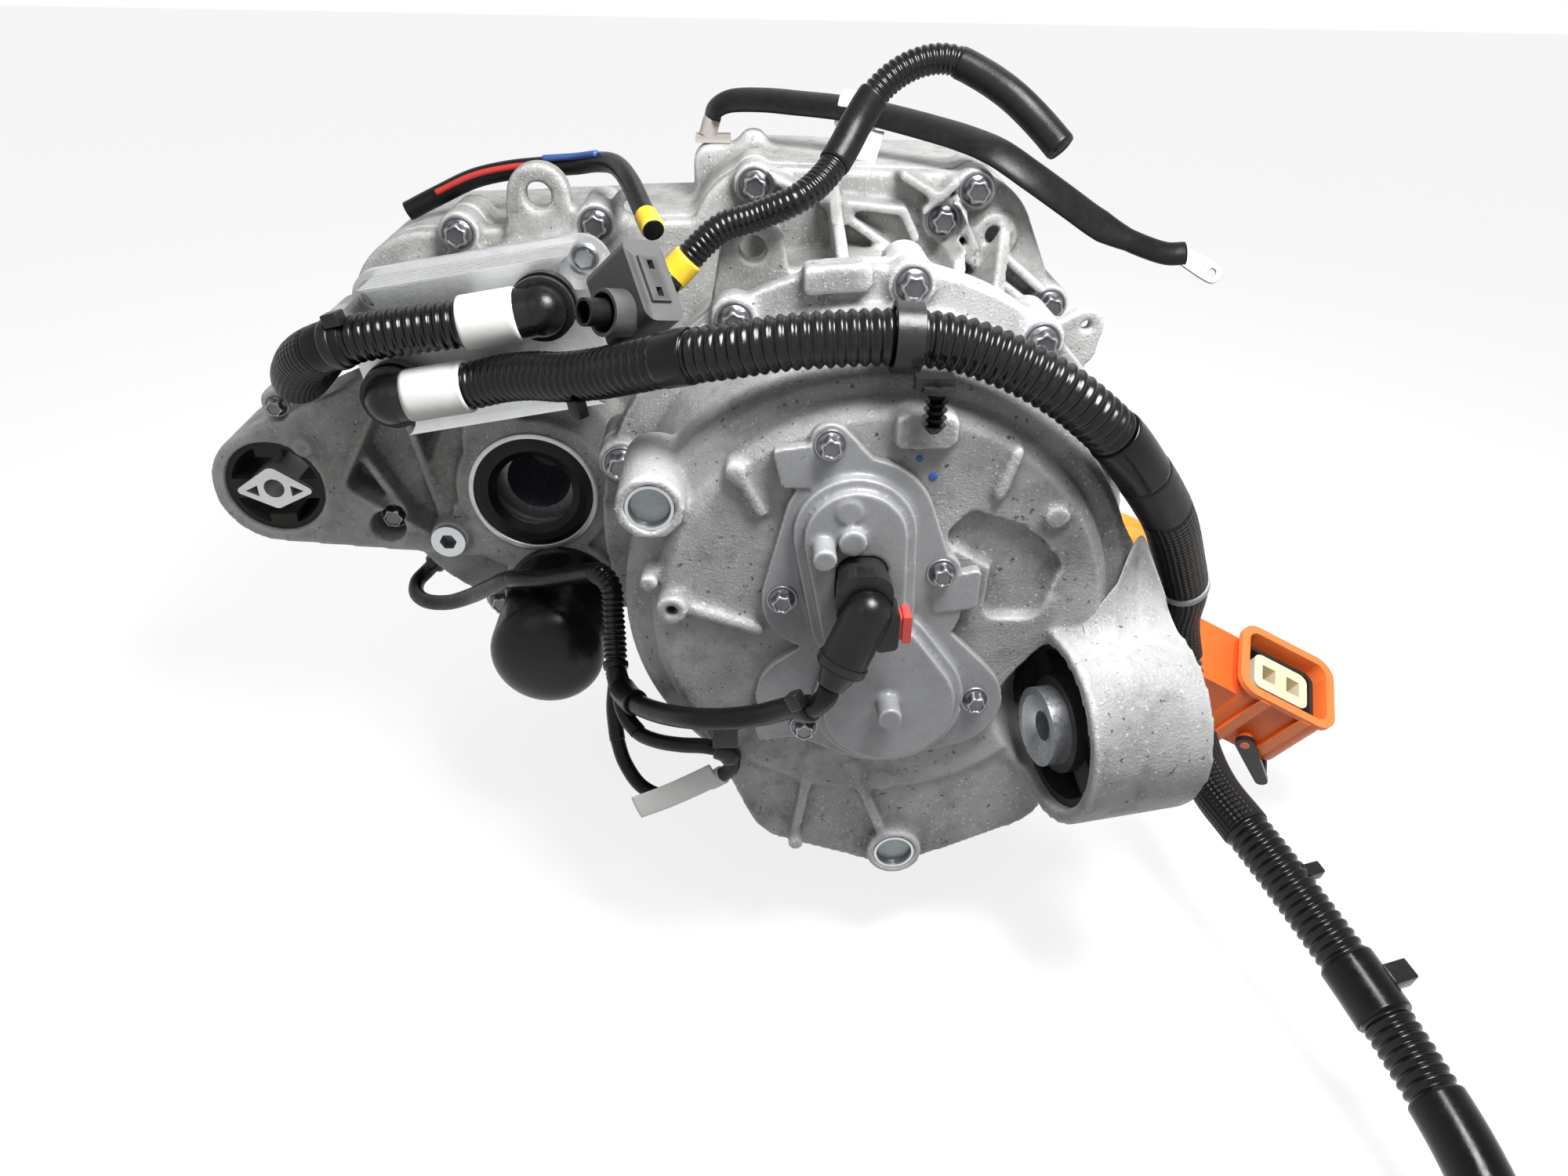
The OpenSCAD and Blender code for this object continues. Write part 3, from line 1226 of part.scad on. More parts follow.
seated() motor_housing();
seated() gearbox_housing();
seated() rear_cover();
seated() sensor_cover();
seated() sensor_cover_bolts();
seated() flange_bolts();
seated() case_bolts();
seated() core_plugs();
seated() drain_plug();
seated() stator_core();
seated() stator_windings();
seated() sensor_ring();
seated() bearing_outer_rings();
seated() front_output_seal();
seated() rear_output_seal();
seated() arm_bush_rubber();
seated() arm_bush_core();
seated() lug_bush_rubber();
seated() lug_bush_sleeve();
seated() oil_cooler();
seated() cooler_screws();
seated() upper_elbow();
seated() lower_elbow();
seated() oil_filter();
seated() sensor_socket();
seated() sensor_plug();
seated() plug_lock();
seated() harness_connector();
seated() connector_pigtail();
seated() hv_gland();
seated() hv_connector();
seated() hv_seal();
seated() hv_insert();
seated() hv_lever();
seated() strap_lug();
seated() strap_end_lug();
seated() harness_gland();
seated() hose_clip();
seated() hose_fitting();
seated() hose_port();
seated() coolant_hose();
seated() upper_hose();
seated() signal_conduit();
seated() ground_strap();
seated() sensor_harness();
seated() harness_branch();
seated() hv_cables();
seated() top_loom();
seated() rotor_shaft();
seated() rotor_core();
seated() rotor_end_plates();
seated() sensor_target();
seated() rotor_inner_rings();
seated() layshaft();
seated() layshaft_wheel();
seated() layshaft_inner_rings();
seated() differential_case();
seated() ring_gear();
seated() ring_gear_bolts();
seated() differential_inner_rings();
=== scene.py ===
"""Looks of an electric drive unit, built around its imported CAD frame.

Places are given in millimetres about the motor axis, with X to the right, Y to the back and Z up.
The function at() turns them into metres in the row frame, whose origin is the arm bush.
"""

from __future__ import annotations

import json
import logging
import math
import random
from collections.abc import Callable
from dataclasses import dataclass
from enum import Enum
from typing import ClassVar

import bpy
from mathutils import Matrix, Vector

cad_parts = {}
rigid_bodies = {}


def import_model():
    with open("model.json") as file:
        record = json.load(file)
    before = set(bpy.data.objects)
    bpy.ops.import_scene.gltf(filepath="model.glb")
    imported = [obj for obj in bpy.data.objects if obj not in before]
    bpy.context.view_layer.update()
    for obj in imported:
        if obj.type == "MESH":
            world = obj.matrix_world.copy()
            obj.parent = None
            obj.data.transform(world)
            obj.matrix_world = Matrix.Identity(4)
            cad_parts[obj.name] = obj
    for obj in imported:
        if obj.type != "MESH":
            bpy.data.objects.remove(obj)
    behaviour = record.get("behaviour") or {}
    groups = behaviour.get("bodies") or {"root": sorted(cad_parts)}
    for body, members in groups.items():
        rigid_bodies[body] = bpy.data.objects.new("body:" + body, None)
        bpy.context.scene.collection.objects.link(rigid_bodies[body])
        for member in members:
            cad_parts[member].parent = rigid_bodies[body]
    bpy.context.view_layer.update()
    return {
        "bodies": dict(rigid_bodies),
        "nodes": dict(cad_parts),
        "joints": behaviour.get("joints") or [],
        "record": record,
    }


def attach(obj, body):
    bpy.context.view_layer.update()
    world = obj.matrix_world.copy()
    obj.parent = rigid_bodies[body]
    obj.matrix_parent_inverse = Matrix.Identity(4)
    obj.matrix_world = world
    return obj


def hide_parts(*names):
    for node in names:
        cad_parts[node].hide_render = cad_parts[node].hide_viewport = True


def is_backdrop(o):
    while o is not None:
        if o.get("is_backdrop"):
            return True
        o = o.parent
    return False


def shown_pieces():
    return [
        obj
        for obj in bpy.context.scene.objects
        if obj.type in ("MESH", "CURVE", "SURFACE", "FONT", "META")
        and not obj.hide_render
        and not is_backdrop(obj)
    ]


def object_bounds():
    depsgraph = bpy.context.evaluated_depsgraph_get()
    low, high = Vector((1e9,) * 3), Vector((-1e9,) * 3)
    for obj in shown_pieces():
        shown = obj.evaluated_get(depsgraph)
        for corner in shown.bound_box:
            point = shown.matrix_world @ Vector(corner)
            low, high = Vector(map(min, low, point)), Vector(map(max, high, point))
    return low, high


LOG = logging.getLogger("drive_unit")
MM = 0.001
BODY = "housing"
MOTOR_AXIS = Vector((303.0, -175.0, 11.0))
SEED = 7

SPAN_STEPS = 24
LEAD_STEPS = 8
RIDGE_FULLNESS = 0.6

Colour = tuple[float, float, float]
Point = tuple[float, float, float]
Face = tuple[int, ...]
Profile = Callable[[float, float], tuple[float, float]]


def at(x: float, y: float, z: float) -> Vector:
    """Row-frame place, in metres, of a point given in millimetres about the motor axis."""
    return (Vector((x, y, z)) + MOTOR_AXIS) * MM


def rgba(colour: Colour) -> tuple[float, float, float, float]:
    """Colour with full opacity."""
    return (*colour, 1.0)


class Wiring:
    """Short hand for adding and linking shader nodes in one tree."""

    def __init__(self, tree: bpy.types.NodeTree) -> None:
        """Keeps the tree that nodes are added to."""
        self.tree = tree

    def add(self, kind: str, **values: object) -> bpy.types.Node:
        """Adds a node.

        Args:
            kind: Blender's node type name.
            values: Properties of the node.

        Returns:
            The new node.
        """
        node = self.tree.nodes.new(kind)
        for key, value in values.items():
            setattr(node, key, value)
        return node

    def link(self, source: bpy.types.NodeSocket, target: bpy.types.NodeSocket) -> None:
        """Joins two sockets."""
        self.tree.links.new(source, target)

    def math(self, operation: str, first: object, second: object = 0.0) -> bpy.types.NodeSocket:
        """Adds a maths node.

        Args:
            operation: Name of the operation.
            first: Socket or number.
            second: Socket or number.

        Returns:
            The result's socket.
        """
        node = self.add("ShaderNodeMath", operation=operation)
        for socket, value in zip(node.inputs, (first, second)):
            if isinstance(value, (int, float)):
                socket.default_value = value
            else:
                self.link(value, socket)
        return node.outputs[0]

    def mix(self, factor: object, first: object, second: object) -> bpy.types.NodeSocket:
        """Mixes two colours.

        Args:
            factor: Socket or number.
            first: Colour socket or colour at factor 0.
            second: Colour socket or colour at factor 1.

        Returns:
            The mixed colour's socket.
        """
        node = self.add("ShaderNodeMix", data_type="RGBA")
        pairs = ((node.inputs[0], factor), (node.inputs[6], first), (node.inputs[7], second))
        for socket, value in pairs:
            if isinstance(value, (int, float)):
                socket.default_value = value
            elif isinstance(value, tuple):
                socket.default_value = rgba(value)
            else:
                self.link(value, socket)
        return node.outputs[2]

    def ramp(self, source: bpy.types.NodeSocket, low: float, high: float) -> bpy.types.NodeSocket:
        """Maps a value from low..high to 0..1 with clamping."""
        node = self.add("ShaderNodeMapRange")
        node.inputs["From Min"].default_value = low
        node.inputs["From Max"].default_value = high
        self.link(source, node.inputs["Value"])
        return node.outputs["Result"]


class SkinGroup:
    """Shared shader group: stained, grained skin with worn edges, and corners darkened by dirt and
    painted shade.
    """

    NAME = "stained_skin"
    INPUTS = (
        ("Base", "NodeSocketColor", None),
        ("Stain", "NodeSocketColor", None),
        ("Worn", "NodeSocketColor", None),
        ("Patch Size", "NodeSocketFloat", 40.0),
        ("Grain Size", "NodeSocketFloat", 900.0),
        ("Stain Amount", "NodeSocketFloat", 0.5),
        ("Speckle", "NodeSocketFloat", 0.3),
        ("Pits", "NodeSocketFloat", 0.0),
        ("Edge Wear", "NodeSocketFloat", 0.5),
        ("Roughness", "NodeSocketFloat", 0.5),
        ("Grain Depth", "NodeSocketFloat", 0.3),
    )
    OUTPUTS = (
        ("Colour", "NodeSocketColor"),
        ("Roughness", "NodeSocketFloat"),
        ("Normal", "NodeSocketVector"),
    )
    # Detail and roughness of each noise
    PATCH_NOISE = (6.0, 0.62)
    GRAIN_NOISE = (3.0, 0.6)
    MOTTLE_NOISE = (4.0, 0.7)
    PIT_NOISE = (2.0, 0.55)
    # Scale of a noise against the patches or the grain
    MOTTLE_SCALE = 7.0
    PIT_SCALE = 0.45
    # Values between which a mask rises from 0 to 1
    CORNER_RISE = (0.5, 0.42)
    RIDGE_RISE = (0.51, 0.58)
    PATCH_RISE = (0.42, 0.66)
    MOTTLE_RISE = (0.5, 0.72)
    PIT_RISE = (0.33, 0.27)
    SPARKLE_RISE = (0.62, 0.7)
    # Shares of the masks in colour, roughness and relief
    MOTTLE_STAIN = 0.5
    # Share of the darkening in hollow corners: painted shade, with some dirt
    CORNER_DIRT_AND_SHADE = 0.55
    PIT_COLOUR = (0.05, 0.05, 0.05)
    MOTTLE_ROUGHNESS = 0.35
    # Roughness added where the stains and the painted corner shade are
    STAINED_SHADED_ROUGHNESS = 0.12
    SPARKLE_SHINE = 0.2
    MOTTLE_RELIEF = 0.6
    RELIEF = 0.0006

    @classmethod
    def get(cls) -> bpy.types.NodeTree:
        """The group, made on first use."""
        found = bpy.data.node_groups.get(cls.NAME)
        return found if found else cls._make()

    @classmethod
    def _make(cls) -> bpy.types.NodeTree:
        """Builds the group's nodes."""
        tree = bpy.data.node_groups.new(cls.NAME, "ShaderNodeTree")
        for name, kind, value in cls.INPUTS:
            socket = tree.interface.new_socket(name, in_out="INPUT", socket_type=kind)
            if value is not None:
                socket.default_value = value
        for name, kind in cls.OUTPUTS:
            tree.interface.new_socket(name, in_out="OUTPUT", socket_type=kind)
        w = Wiring(tree)
        given = w.add("NodeGroupInput").outputs
        result = w.add("NodeGroupOutput").inputs
        place = w.add("ShaderNodeTexCoord").outputs["Object"]
        mottle_size = w.math("MULTIPLY", given["Patch Size"], cls.MOTTLE_SCALE)
        pit_size = w.math("MULTIPLY", given["Grain Size"], cls.PIT_SCALE)
        patch = cls._noise(w, place, given["Patch Size"], *cls.PATCH_NOISE)
        fine = cls._noise(w, place, given["Grain Size"], *cls.GRAIN_NOISE)
        mottle = cls._noise(w, place, mottle_size, *cls.MOTTLE_NOISE)
        pit = cls._noise(w, place, pit_size, *cls.PIT_NOISE)
        edge = w.add("ShaderNodeNewGeometry").outputs["Pointiness"]
        # Hollow corners, where pointiness is low, go towards the stain colour: painted shade, with
        # some dirt
        corner = w.math("MULTIPLY", w.ramp(edge, *cls.CORNER_RISE), cls.CORNER_DIRT_AND_SHADE)
        ridge = w.math("MULTIPLY", w.ramp(edge, *cls.RIDGE_RISE), given["Edge Wear"])
        mottled = w.math("MULTIPLY", w.ramp(mottle, *cls.MOTTLE_RISE), cls.MOTTLE_STAIN)
        blotch = w.math("ADD", w.ramp(patch, *cls.PATCH_RISE), mottled)
        stained = w.math("MULTIPLY", blotch, given["Stain Amount"])
        # Stains and the painted corner shade, as one mask for colour and roughness
        stained_and_shaded = w.math("MINIMUM", w.math("ADD", stained, corner), 1.0)
        colour = w.mix(stained_and_shaded, given["Base"], given["Stain"])
        pitted = w.math("MULTIPLY", w.ramp(pit, *cls.PIT_RISE), given["Pits"])
        colour = w.mix(pitted, colour, cls.PIT_COLOUR)
        sparkle = w.math("MULTIPLY", w.ramp(fine, *cls.SPARKLE_RISE), given["Speckle"])
        bright = w.math("MINIMUM", w.math("ADD", ridge, sparkle), 1.0)
        w.link(w.mix(bright, colour, given["Worn"]), result["Colour"])
        spread = w.math("MULTIPLY", w.math("SUBTRACT", mottle, 0.5), cls.MOTTLE_ROUGHNESS)
        dull = w.math("MULTIPLY", stained_and_shaded, cls.STAINED_SHADED_ROUGHNESS)
        rough = w.math("ADD", w.math("ADD", given["Roughness"], spread), dull)
        shine = w.math("MULTIPLY", sparkle, cls.SPARKLE_SHINE)
        w.link(w.math("SUBTRACT", rough, shine), result["Roughness"])
        bump = w.add("ShaderNodeBump")
        bump.inputs["Distance"].default_value = cls.RELIEF
        w.link(given["Grain Depth"], bump.inputs["Strength"])
        relief = w.math("ADD", fine, w.math("MULTIPLY", mottle, cls.MOTTLE_RELIEF))
        w.link(relief, bump.inputs["Height"])
        w.link(bump.outputs["Normal"], result["Normal"])
        return tree

    @staticmethod
    def _noise(
        w: Wiring, place: object, scale: object, detail: float, rough: float
    ) -> bpy.types.NodeSocket:
        """Noise value over the object's own space.

        Args:
            w: Wiring of the group.
            place: Socket of the place.
            scale: Socket of the noise's scale.
            detail: Number of finer layers.
            rough: Weight of the finer layers.

        Returns:
            The noise's socket.
        """
        node = w.add("ShaderNodeTexNoise")
        node.inputs["Detail"].default_value = detail
        node.inputs["Roughness"].default_value = rough
        w.link(place, node.inputs["Vector"])
        w.link(scale, node.inputs["Scale"])
        return node.outputs[0]


class WrapGroup:
    """Shared shader group: heights of a braided sleeve and of wound tape, from a tube's UV map."""

    NAME = "wrapped_surface"

    @classmethod
    def get(cls) -> bpy.types.NodeTree:
        """The group, made on first use."""
        found = bpy.data.node_groups.get(cls.NAME)
        return found if found else cls._make()

    @classmethod
    def _make(cls) -> bpy.types.NodeTree:
        """Builds the group's nodes."""
        tree = bpy.data.node_groups.new(cls.NAME, "ShaderNodeTree")
        for name in ("Turns", "Pitch"):
            tree.interface.new_socket(name, in_out="INPUT", socket_type="NodeSocketFloat")
        for name in ("Braid", "Tape"):
            tree.interface.new_socket(name, in_out="OUTPUT", socket_type="NodeSocketFloat")
        w = Wiring(tree)
        given = w.add("NodeGroupInput").outputs
        result = w.add("NodeGroupOutput").inputs
        split = w.add("ShaderNodeSeparateXYZ")
        w.link(w.add("ShaderNodeTexCoord").outputs["UV"], split.inputs[0])
        turn, metres = split.outputs[0], split.outputs[1]
        wraps = w.math("DIVIDE", metres, given["Pitch"])
        around = w.math("MULTIPLY", w.math("MULTIPLY", turn, given["Turns"]), 2 * math.pi)
        along = w.math("MULTIPLY", wraps, 2 * math.pi)
        first = w.math("SINE", w.math("ADD", around, along))
        second = w.math("SINE", w.math("SUBTRACT", around, along))
        crossing = w.math("MULTIPLY", w.math("MULTIPLY", first, second), 0.5)
        w.link(w.math("ADD", crossing, 0.5), result["Braid"])
        w.link(w.math("FRACT", w.math("ADD", wraps, turn)), result["Tape"])
        return tree


class Wrap(Enum):
    """How a sleeve is wrapped."""

    NONE = ""
    BRAID = "Braid"
    TAPE = "Tape"


@dataclass(frozen=True)
class Finish:
    """A surface finish that uses the shared stained skin."""

    name: str
    base: Colour
    stain: Colour
    worn: Colour
    metallic: float = 0.0
    roughness: float = 0.5
    patch: float = 40.0
    grain: float = 900.0
    stain_amount: float = 0.3
    speckle: float = 0.0
    pits: float = 0.0
    edge_wear: float = 0.3
    grain_depth: float = 0.15
    specular: float = 0.5
    coat: float = 0.0
    wrap: Wrap = Wrap.NONE
    turns: float = 1.0
    pitch: float = 6.0

    WRAP_STRENGTH: ClassVar[float] = 0.9
    WRAP_RELIEF: ClassVar[float] = 0.0008

    def material(self) -> bpy.types.Material:
        """The finish's material, made on first use."""
        found = bpy.data.materials.get(self.name)
        if found:
            return found
        material = bpy.data.materials.new(self.name)
        material.use_nodes = True
        w = Wiring(material.node_tree)
        shader = material.node_tree.nodes["Principled BSDF"]
        skin = w.add("ShaderNodeGroup", node_tree=SkinGroup.get())
        for socket, colour in (("Base", self.base), ("Stain", self.stain), ("Worn", self.worn)):
            skin.inputs[socket].default_value = rgba(colour)
        numbers = {
            "Patch Size": self.patch,
            "Grain Size": self.grain,
            "Stain Amount": self.stain_amount,
            "Speckle": self.speckle,
            "Pits": self.pits,
            "Edge Wear": self.edge_wear,
            "Roughness": self.roughness,
            "Grain Depth": self.grain_depth,
        }
        for socket, value in numbers.items():
            skin.inputs[socket].default_value = value
        shader.inputs["Metallic"].default_value = self.metallic
        shader.inputs["Specular IOR Level"].default_value = self.specular
        shader.inputs["Coat Weight"].default_value = self.coat
        w.link(skin.outputs["Colour"], shader.inputs["Base Color"])
        w.link(skin.outputs["Roughness"], shader.inputs["Roughness"])
        w.link(self._wrapped(w, skin.outputs["Normal"]), shader.inputs["Normal"])
        return material

    def _wrapped(self, w: Wiring, normal: bpy.types.NodeSocket) -> bpy.types.NodeSocket:
        """Adds the sleeve's wrapping to a normal.

        Args:
            w: Wiring of the material.
            normal: Normal of the skin.

        Returns:
            The normal to shade with.
        """
        if self.wrap is Wrap.NONE:
            return normal
        group = w.add("ShaderNodeGroup", node_tree=WrapGroup.get())
        group.inputs["Turns"].default_value = self.turns
        group.inputs["Pitch"].default_value = self.pitch * MM
        bump = w.add("ShaderNodeBump")
        bump.inputs["Strength"].default_value = self.WRAP_STRENGTH
        bump.inputs["Distance"].default_value = self.WRAP_RELIEF
        w.link(group.outputs[self.wrap.value], bump.inputs["Height"])
        w.link(normal, bump.inputs["Normal"])
        return bump.outputs["Normal"]


class Look(Enum):
    """Every finish of the unit."""

    CAST = Finish(
        "cast_aluminium", (0.42, 0.42, 0.415), (0.13, 0.128, 0.12), (0.82, 0.82, 0.81),
        metallic=0.12, roughness=0.42, specular=0.25, patch=17.0, grain=820.0,
        stain_amount=0.62, speckle=0.6, pits=0.8, edge_wear=0.55, grain_depth=0.7,
    )
    BELL = Finish(
        "bell_aluminium", (0.39, 0.392, 0.392), (0.11, 0.109, 0.104), (0.80, 0.80, 0.80),
        metallic=0.08, roughness=0.4, specular=0.22, patch=15.0, grain=760.0,
        stain_amount=0.62, speckle=0.7, pits=0.85, edge_wear=0.55, grain_depth=0.75,
    )
    COVER = Finish(
        "cover_aluminium", (0.29, 0.294, 0.302), (0.16, 0.163, 0.17), (0.72, 0.73, 0.75),
        metallic=0.15, roughness=0.36, specular=0.3, patch=24.0, grain=1000.0,
        stain_amount=0.4, speckle=0.3, pits=0.3, edge_wear=0.5, grain_depth=0.2,
    )
    BUSH_CORE = Finish(
        "bush_core_aluminium", (0.52, 0.53, 0.54), (0.36, 0.35, 0.34), (0.82, 0.82, 0.83),
        metallic=0.75, roughness=0.42,
    )
    ZINC = Finish(
        "zinc_flake", (0.17, 0.174, 0.183), (0.09, 0.09, 0.095), (0.60, 0.61, 0.63),
        metallic=0.85, roughness=0.34, patch=90.0, grain=1800.0, stain_amount=0.4,
        edge_wear=0.55,
    )
    STEEL = Finish(
        "bright_steel", (0.55, 0.58, 0.62), (0.36, 0.37, 0.38), (0.85, 0.86, 0.88),
        metallic=0.9, roughness=0.3, patch=60.0, stain_amount=0.3,
    )
    # Bright steel painted darker to stand in for the dark reflections of the cup plugs and drain
    # plug: painted reflection
    DARKENED_STEEL = Finish(
        "steel_with_painted_dark_reflection", (0.24, 0.27, 0.28), (0.15, 0.16, 0.16), (0.75, 0.77, 0.78),
        metallic=0.85, roughness=0.3, patch=70.0, stain_amount=0.4, edge_wear=0.6,
    )
    COOLER = Finish(
        "brazed_aluminium", (0.58, 0.59, 0.60), (0.42, 0.42, 0.42), (0.88, 0.88, 0.89),
        metallic=0.8, roughness=0.38, patch=30.0, stain_amount=0.3, edge_wear=0.5,
    )
    LAMINATION = Finish(
        "lamination_steel", (0.22, 0.23, 0.26), (0.14, 0.14, 0.15), (0.5, 0.5, 0.52),
        metallic=0.8, roughness=0.45,
    )
    END_PLATE = Finish(
        "end_plate_aluminium", (0.6, 0.6, 0.58), (0.45, 0.44, 0.42), (0.8, 0.8, 0.8),
        metallic=0.85, roughness=0.35,
    )
    COPPER = Finish(
        "varnished_copper", (0.50, 0.22, 0.09), (0.30, 0.12, 0.05), (0.75, 0.42, 0.24),
        metallic=0.8, roughness=0.35,
    )
    COIL = Finish(
        "potted_coil", (0.20, 0.15, 0.08), (0.12, 0.09, 0.05), (0.3, 0.25, 0.15),
        roughness=0.4,
    )
    RUBBER = Finish(
        "bush_rubber", (0.014, 0.013, 0.012), (0.06, 0.054, 0.047), (0.04, 0.037, 0.034),
        roughness=0.6, patch=30.0, stain_amount=0.5, edge_wear=0.4, grain_depth=0.2,
        specular=0.22,
    )
    PLASTIC = Finish(
        "moulded_black", (0.006, 0.006, 0.0064), (0.014, 0.0138, 0.0134), (0.04, 0.04, 0.041),
        roughness=0.28, patch=35.0, stain_amount=0.25, edge_wear=0.3, grain_depth=0.1,
        specular=0.3,
    )
    HOSE = Finish(
        "hose_black", (0.004, 0.004, 0.0042), (0.010, 0.0098, 0.0096), (0.018, 0.018, 0.0185),
        roughness=0.2, patch=30.0, stain_amount=0.22, edge_wear=0.15, grain_depth=0.05,
        specular=0.3,
    )
    CABLE = Finish(
        "cable_black", (0.005, 0.005, 0.0052), (0.013, 0.0127, 0.012), (0.022, 0.022, 0.022),
        roughness=0.36, patch=35.0, stain_amount=0.3, edge_wear=0.15, grain_depth=0.12,
        specular=0.2,
    )
    FILTER = Finish(
        "can_paint", (0.006, 0.006, 0.0063), (0.018, 0.0176, 0.0165), (0.05, 0.05, 0.05),
        roughness=0.27, patch=22.0, stain_amount=0.45, edge_wear=0.06, grain_depth=0.1,
        specular=0.25,
    )
    GREY = Finish(
        "moulded_grey", (0.05, 0.05, 0.052), (0.09, 0.088, 0.084), (0.2, 0.2, 0.2),
        roughness=0.45, patch=30.0, specular=0.22,
    )
    ORANGE = Finish(
        "moulded_orange", (0.92, 0.17, 0.022), (0.66, 0.11, 0.016), (1.0, 0.38, 0.14),
        roughness=0.4, patch=24.0, stain_amount=0.3, edge_wear=0.3, grain_depth=0.1,
    )
    ORANGE_CABLE = Finish(
        "orange_cable", (0.88, 0.26, 0.02), (0.62, 0.16, 0.015), (1.0, 0.5, 0.18),
        roughness=0.34, patch=18.0, stain_amount=0.3, grain_depth=0.05,
    )
    CREAM = Finish(
        "moulded_cream", (0.72, 0.65, 0.44), (0.55, 0.48, 0.32), (0.85, 0.8, 0.65),
        roughness=0.42,
    )
    RED = Finish(
        "moulded_red", (0.55, 0.018, 0.014), (0.32, 0.01, 0.01), (0.8, 0.15, 0.12),
        roughness=0.35,
    )
    TINNED = Finish(
        "tinned_copper", (0.40, 0.375, 0.345), (0.28, 0.26, 0.235), (0.6, 0.57, 0.54),
        metallic=0.2, roughness=0.4, specular=0.25,
    )
    TAPE = Finish(
        "black_tape", (0.004, 0.004, 0.0042), (0.010, 0.0098, 0.0095), (0.02, 0.02, 0.0205),
        roughness=0.2, patch=40.0, stain_amount=0.2, edge_wear=0.1, grain_depth=0.05,
        wrap=Wrap.TAPE, pitch=11.0, specular=0.22,
    )
    WOUND = Finish(
        "wound_tape", (0.005, 0.005, 0.005), (0.013, 0.013, 0.0127), (0.025, 0.025, 0.025),
        roughness=0.32, patch=40.0, stain_amount=0.25, edge_wear=0.1, grain_depth=0.12,
        wrap=Wrap.TAPE, pitch=6.0, specular=0.2,
    )
    BRAID = Finish(
        "braided_sleeve", (0.004, 0.004, 0.0042), (0.011, 0.0108, 0.0105), (0.025, 0.025, 0.025),
        roughness=0.42, patch=40.0, stain_amount=0.25, edge_wear=0.1, grain_depth=0.1,
        wrap=Wrap.BRAID, turns=14.0, pitch=5.0, specular=0.2,
    )
    SEAL = Finish(
        "seal_rubber", (0.004, 0.004, 0.0043), (0.012, 0.0117, 0.011), (0.025, 0.025, 0.025),
        roughness=0.36, patch=30.0, stain_amount=0.25, edge_wear=0.15, grain_depth=0.05,
        specular=0.18,
    )
    WHITE = Finish(
        "white_tape", (0.80, 0.80, 0.78), (0.58, 0.56, 0.52), (0.9, 0.9, 0.89),
        roughness=0.5, stain_amount=0.3,
    )
    YELLOW = Finish(
        "yellow_tape", (0.80, 0.52, 0.02), (0.5, 0.32, 0.03), (0.92, 0.7, 0.2),
        roughness=0.4,
    )
    TIE_GREY = Finish(
        "grey_tie", (0.42, 0.43, 0.43), (0.3, 0.3, 0.3), (0.6, 0.6, 0.6),
        roughness=0.45,
    )
    PAINT_BLUE = Finish(
        "blue_paint_mark", (0.02, 0.10, 0.42), (0.02, 0.07, 0.28), (0.1, 0.25, 0.6),
        roughness=0.45,
    )
    WIRE_RED = Finish(
        "red_wire", (0.45, 0.02, 0.015), (0.25, 0.015, 0.01), (0.7, 0.1, 0.1),
        roughness=0.4,
    )
    WIRE_BLUE = Finish(
        "blue_wire", (0.03, 0.09, 0.30), (0.02, 0.05, 0.16), (0.1, 0.2, 0.5),
        roughness=0.4,
    )

    def paint(self, thing: bpy.types.Object) -> None:
        """Gives an object this finish and no other."""
        thing.data.materials.clear()
        thing.data.materials.append(self.value.material())


SLOT_LOOKS = {
    "cast": Look.CAST,
    "cover_cast": Look.COVER,
    "bush_core": Look.BUSH_CORE,
    "bolt_zinc": Look.ZINC,
    "steel": Look.STEEL,
    "cooler_metal": Look.COOLER,
    "lamination": Look.LAMINATION,
    "end_plate": Look.END_PLATE,
    "copper": Look.COPPER,
    "sensor_coil": Look.COIL,
    "rubber": Look.RUBBER,
    "black_plastic": Look.PLASTIC,
    "filter_paint": Look.FILTER,
    "grey_plastic": Look.GREY,
    "cord_black": Look.CABLE,
    "hv_orange": Look.ORANGE,
    "hv_cable": Look.ORANGE_CABLE,
    "cream_plastic": Look.CREAM,
    "red_plastic": Look.RED,
    "tinned": Look.TINNED,
}


def spline(points: list[Vector], spacing: float) -> list[Vector]:
    """Smooth line through points.

    Args:
        points: Points in metres.
        spacing: Distance between the points of the result, in metres.

    Returns:
        Points along a Catmull-Rom line, evenly spaced.
    """
    ends = [points[0] * 2 - points[1], *points, points[-1] * 2 - points[-2]]
    dense: list[Vector] = []
    for a, b, c, d in zip(ends, ends[1:], ends[2:], ends[3:]):
        slope = c - a
        bend = 2 * a - 5 * b + 4 * c - d
        twist = 3 * b - a - 3 * c + d
        for step in range(SPAN_STEPS):
            t = step / SPAN_STEPS
            dense.append(0.5 * (2 * b + slope * t + bend * t**2 + twist * t**3))
    dense.append(points[-1])
    total = path_length(dense)
    count = max(2, round(total / spacing))
    even = [dense[0]]
    walked, target = 0.0, total / count
    for here, after in zip(dense, dense[1:]):
        step = (after - here).length
        while step > 0 and walked + step >= target - 1e-12 and len(even) < count:
            even.append(here.lerp(after, (target - walked) / step))
            target += total / count
        walked += step
    even.append(dense[-1])
    return even


def path_length(path: list[Vector]) -> float:
    """Length of a line, in metres."""
    return sum((b - a).length for a, b in zip(path, path[1:]))


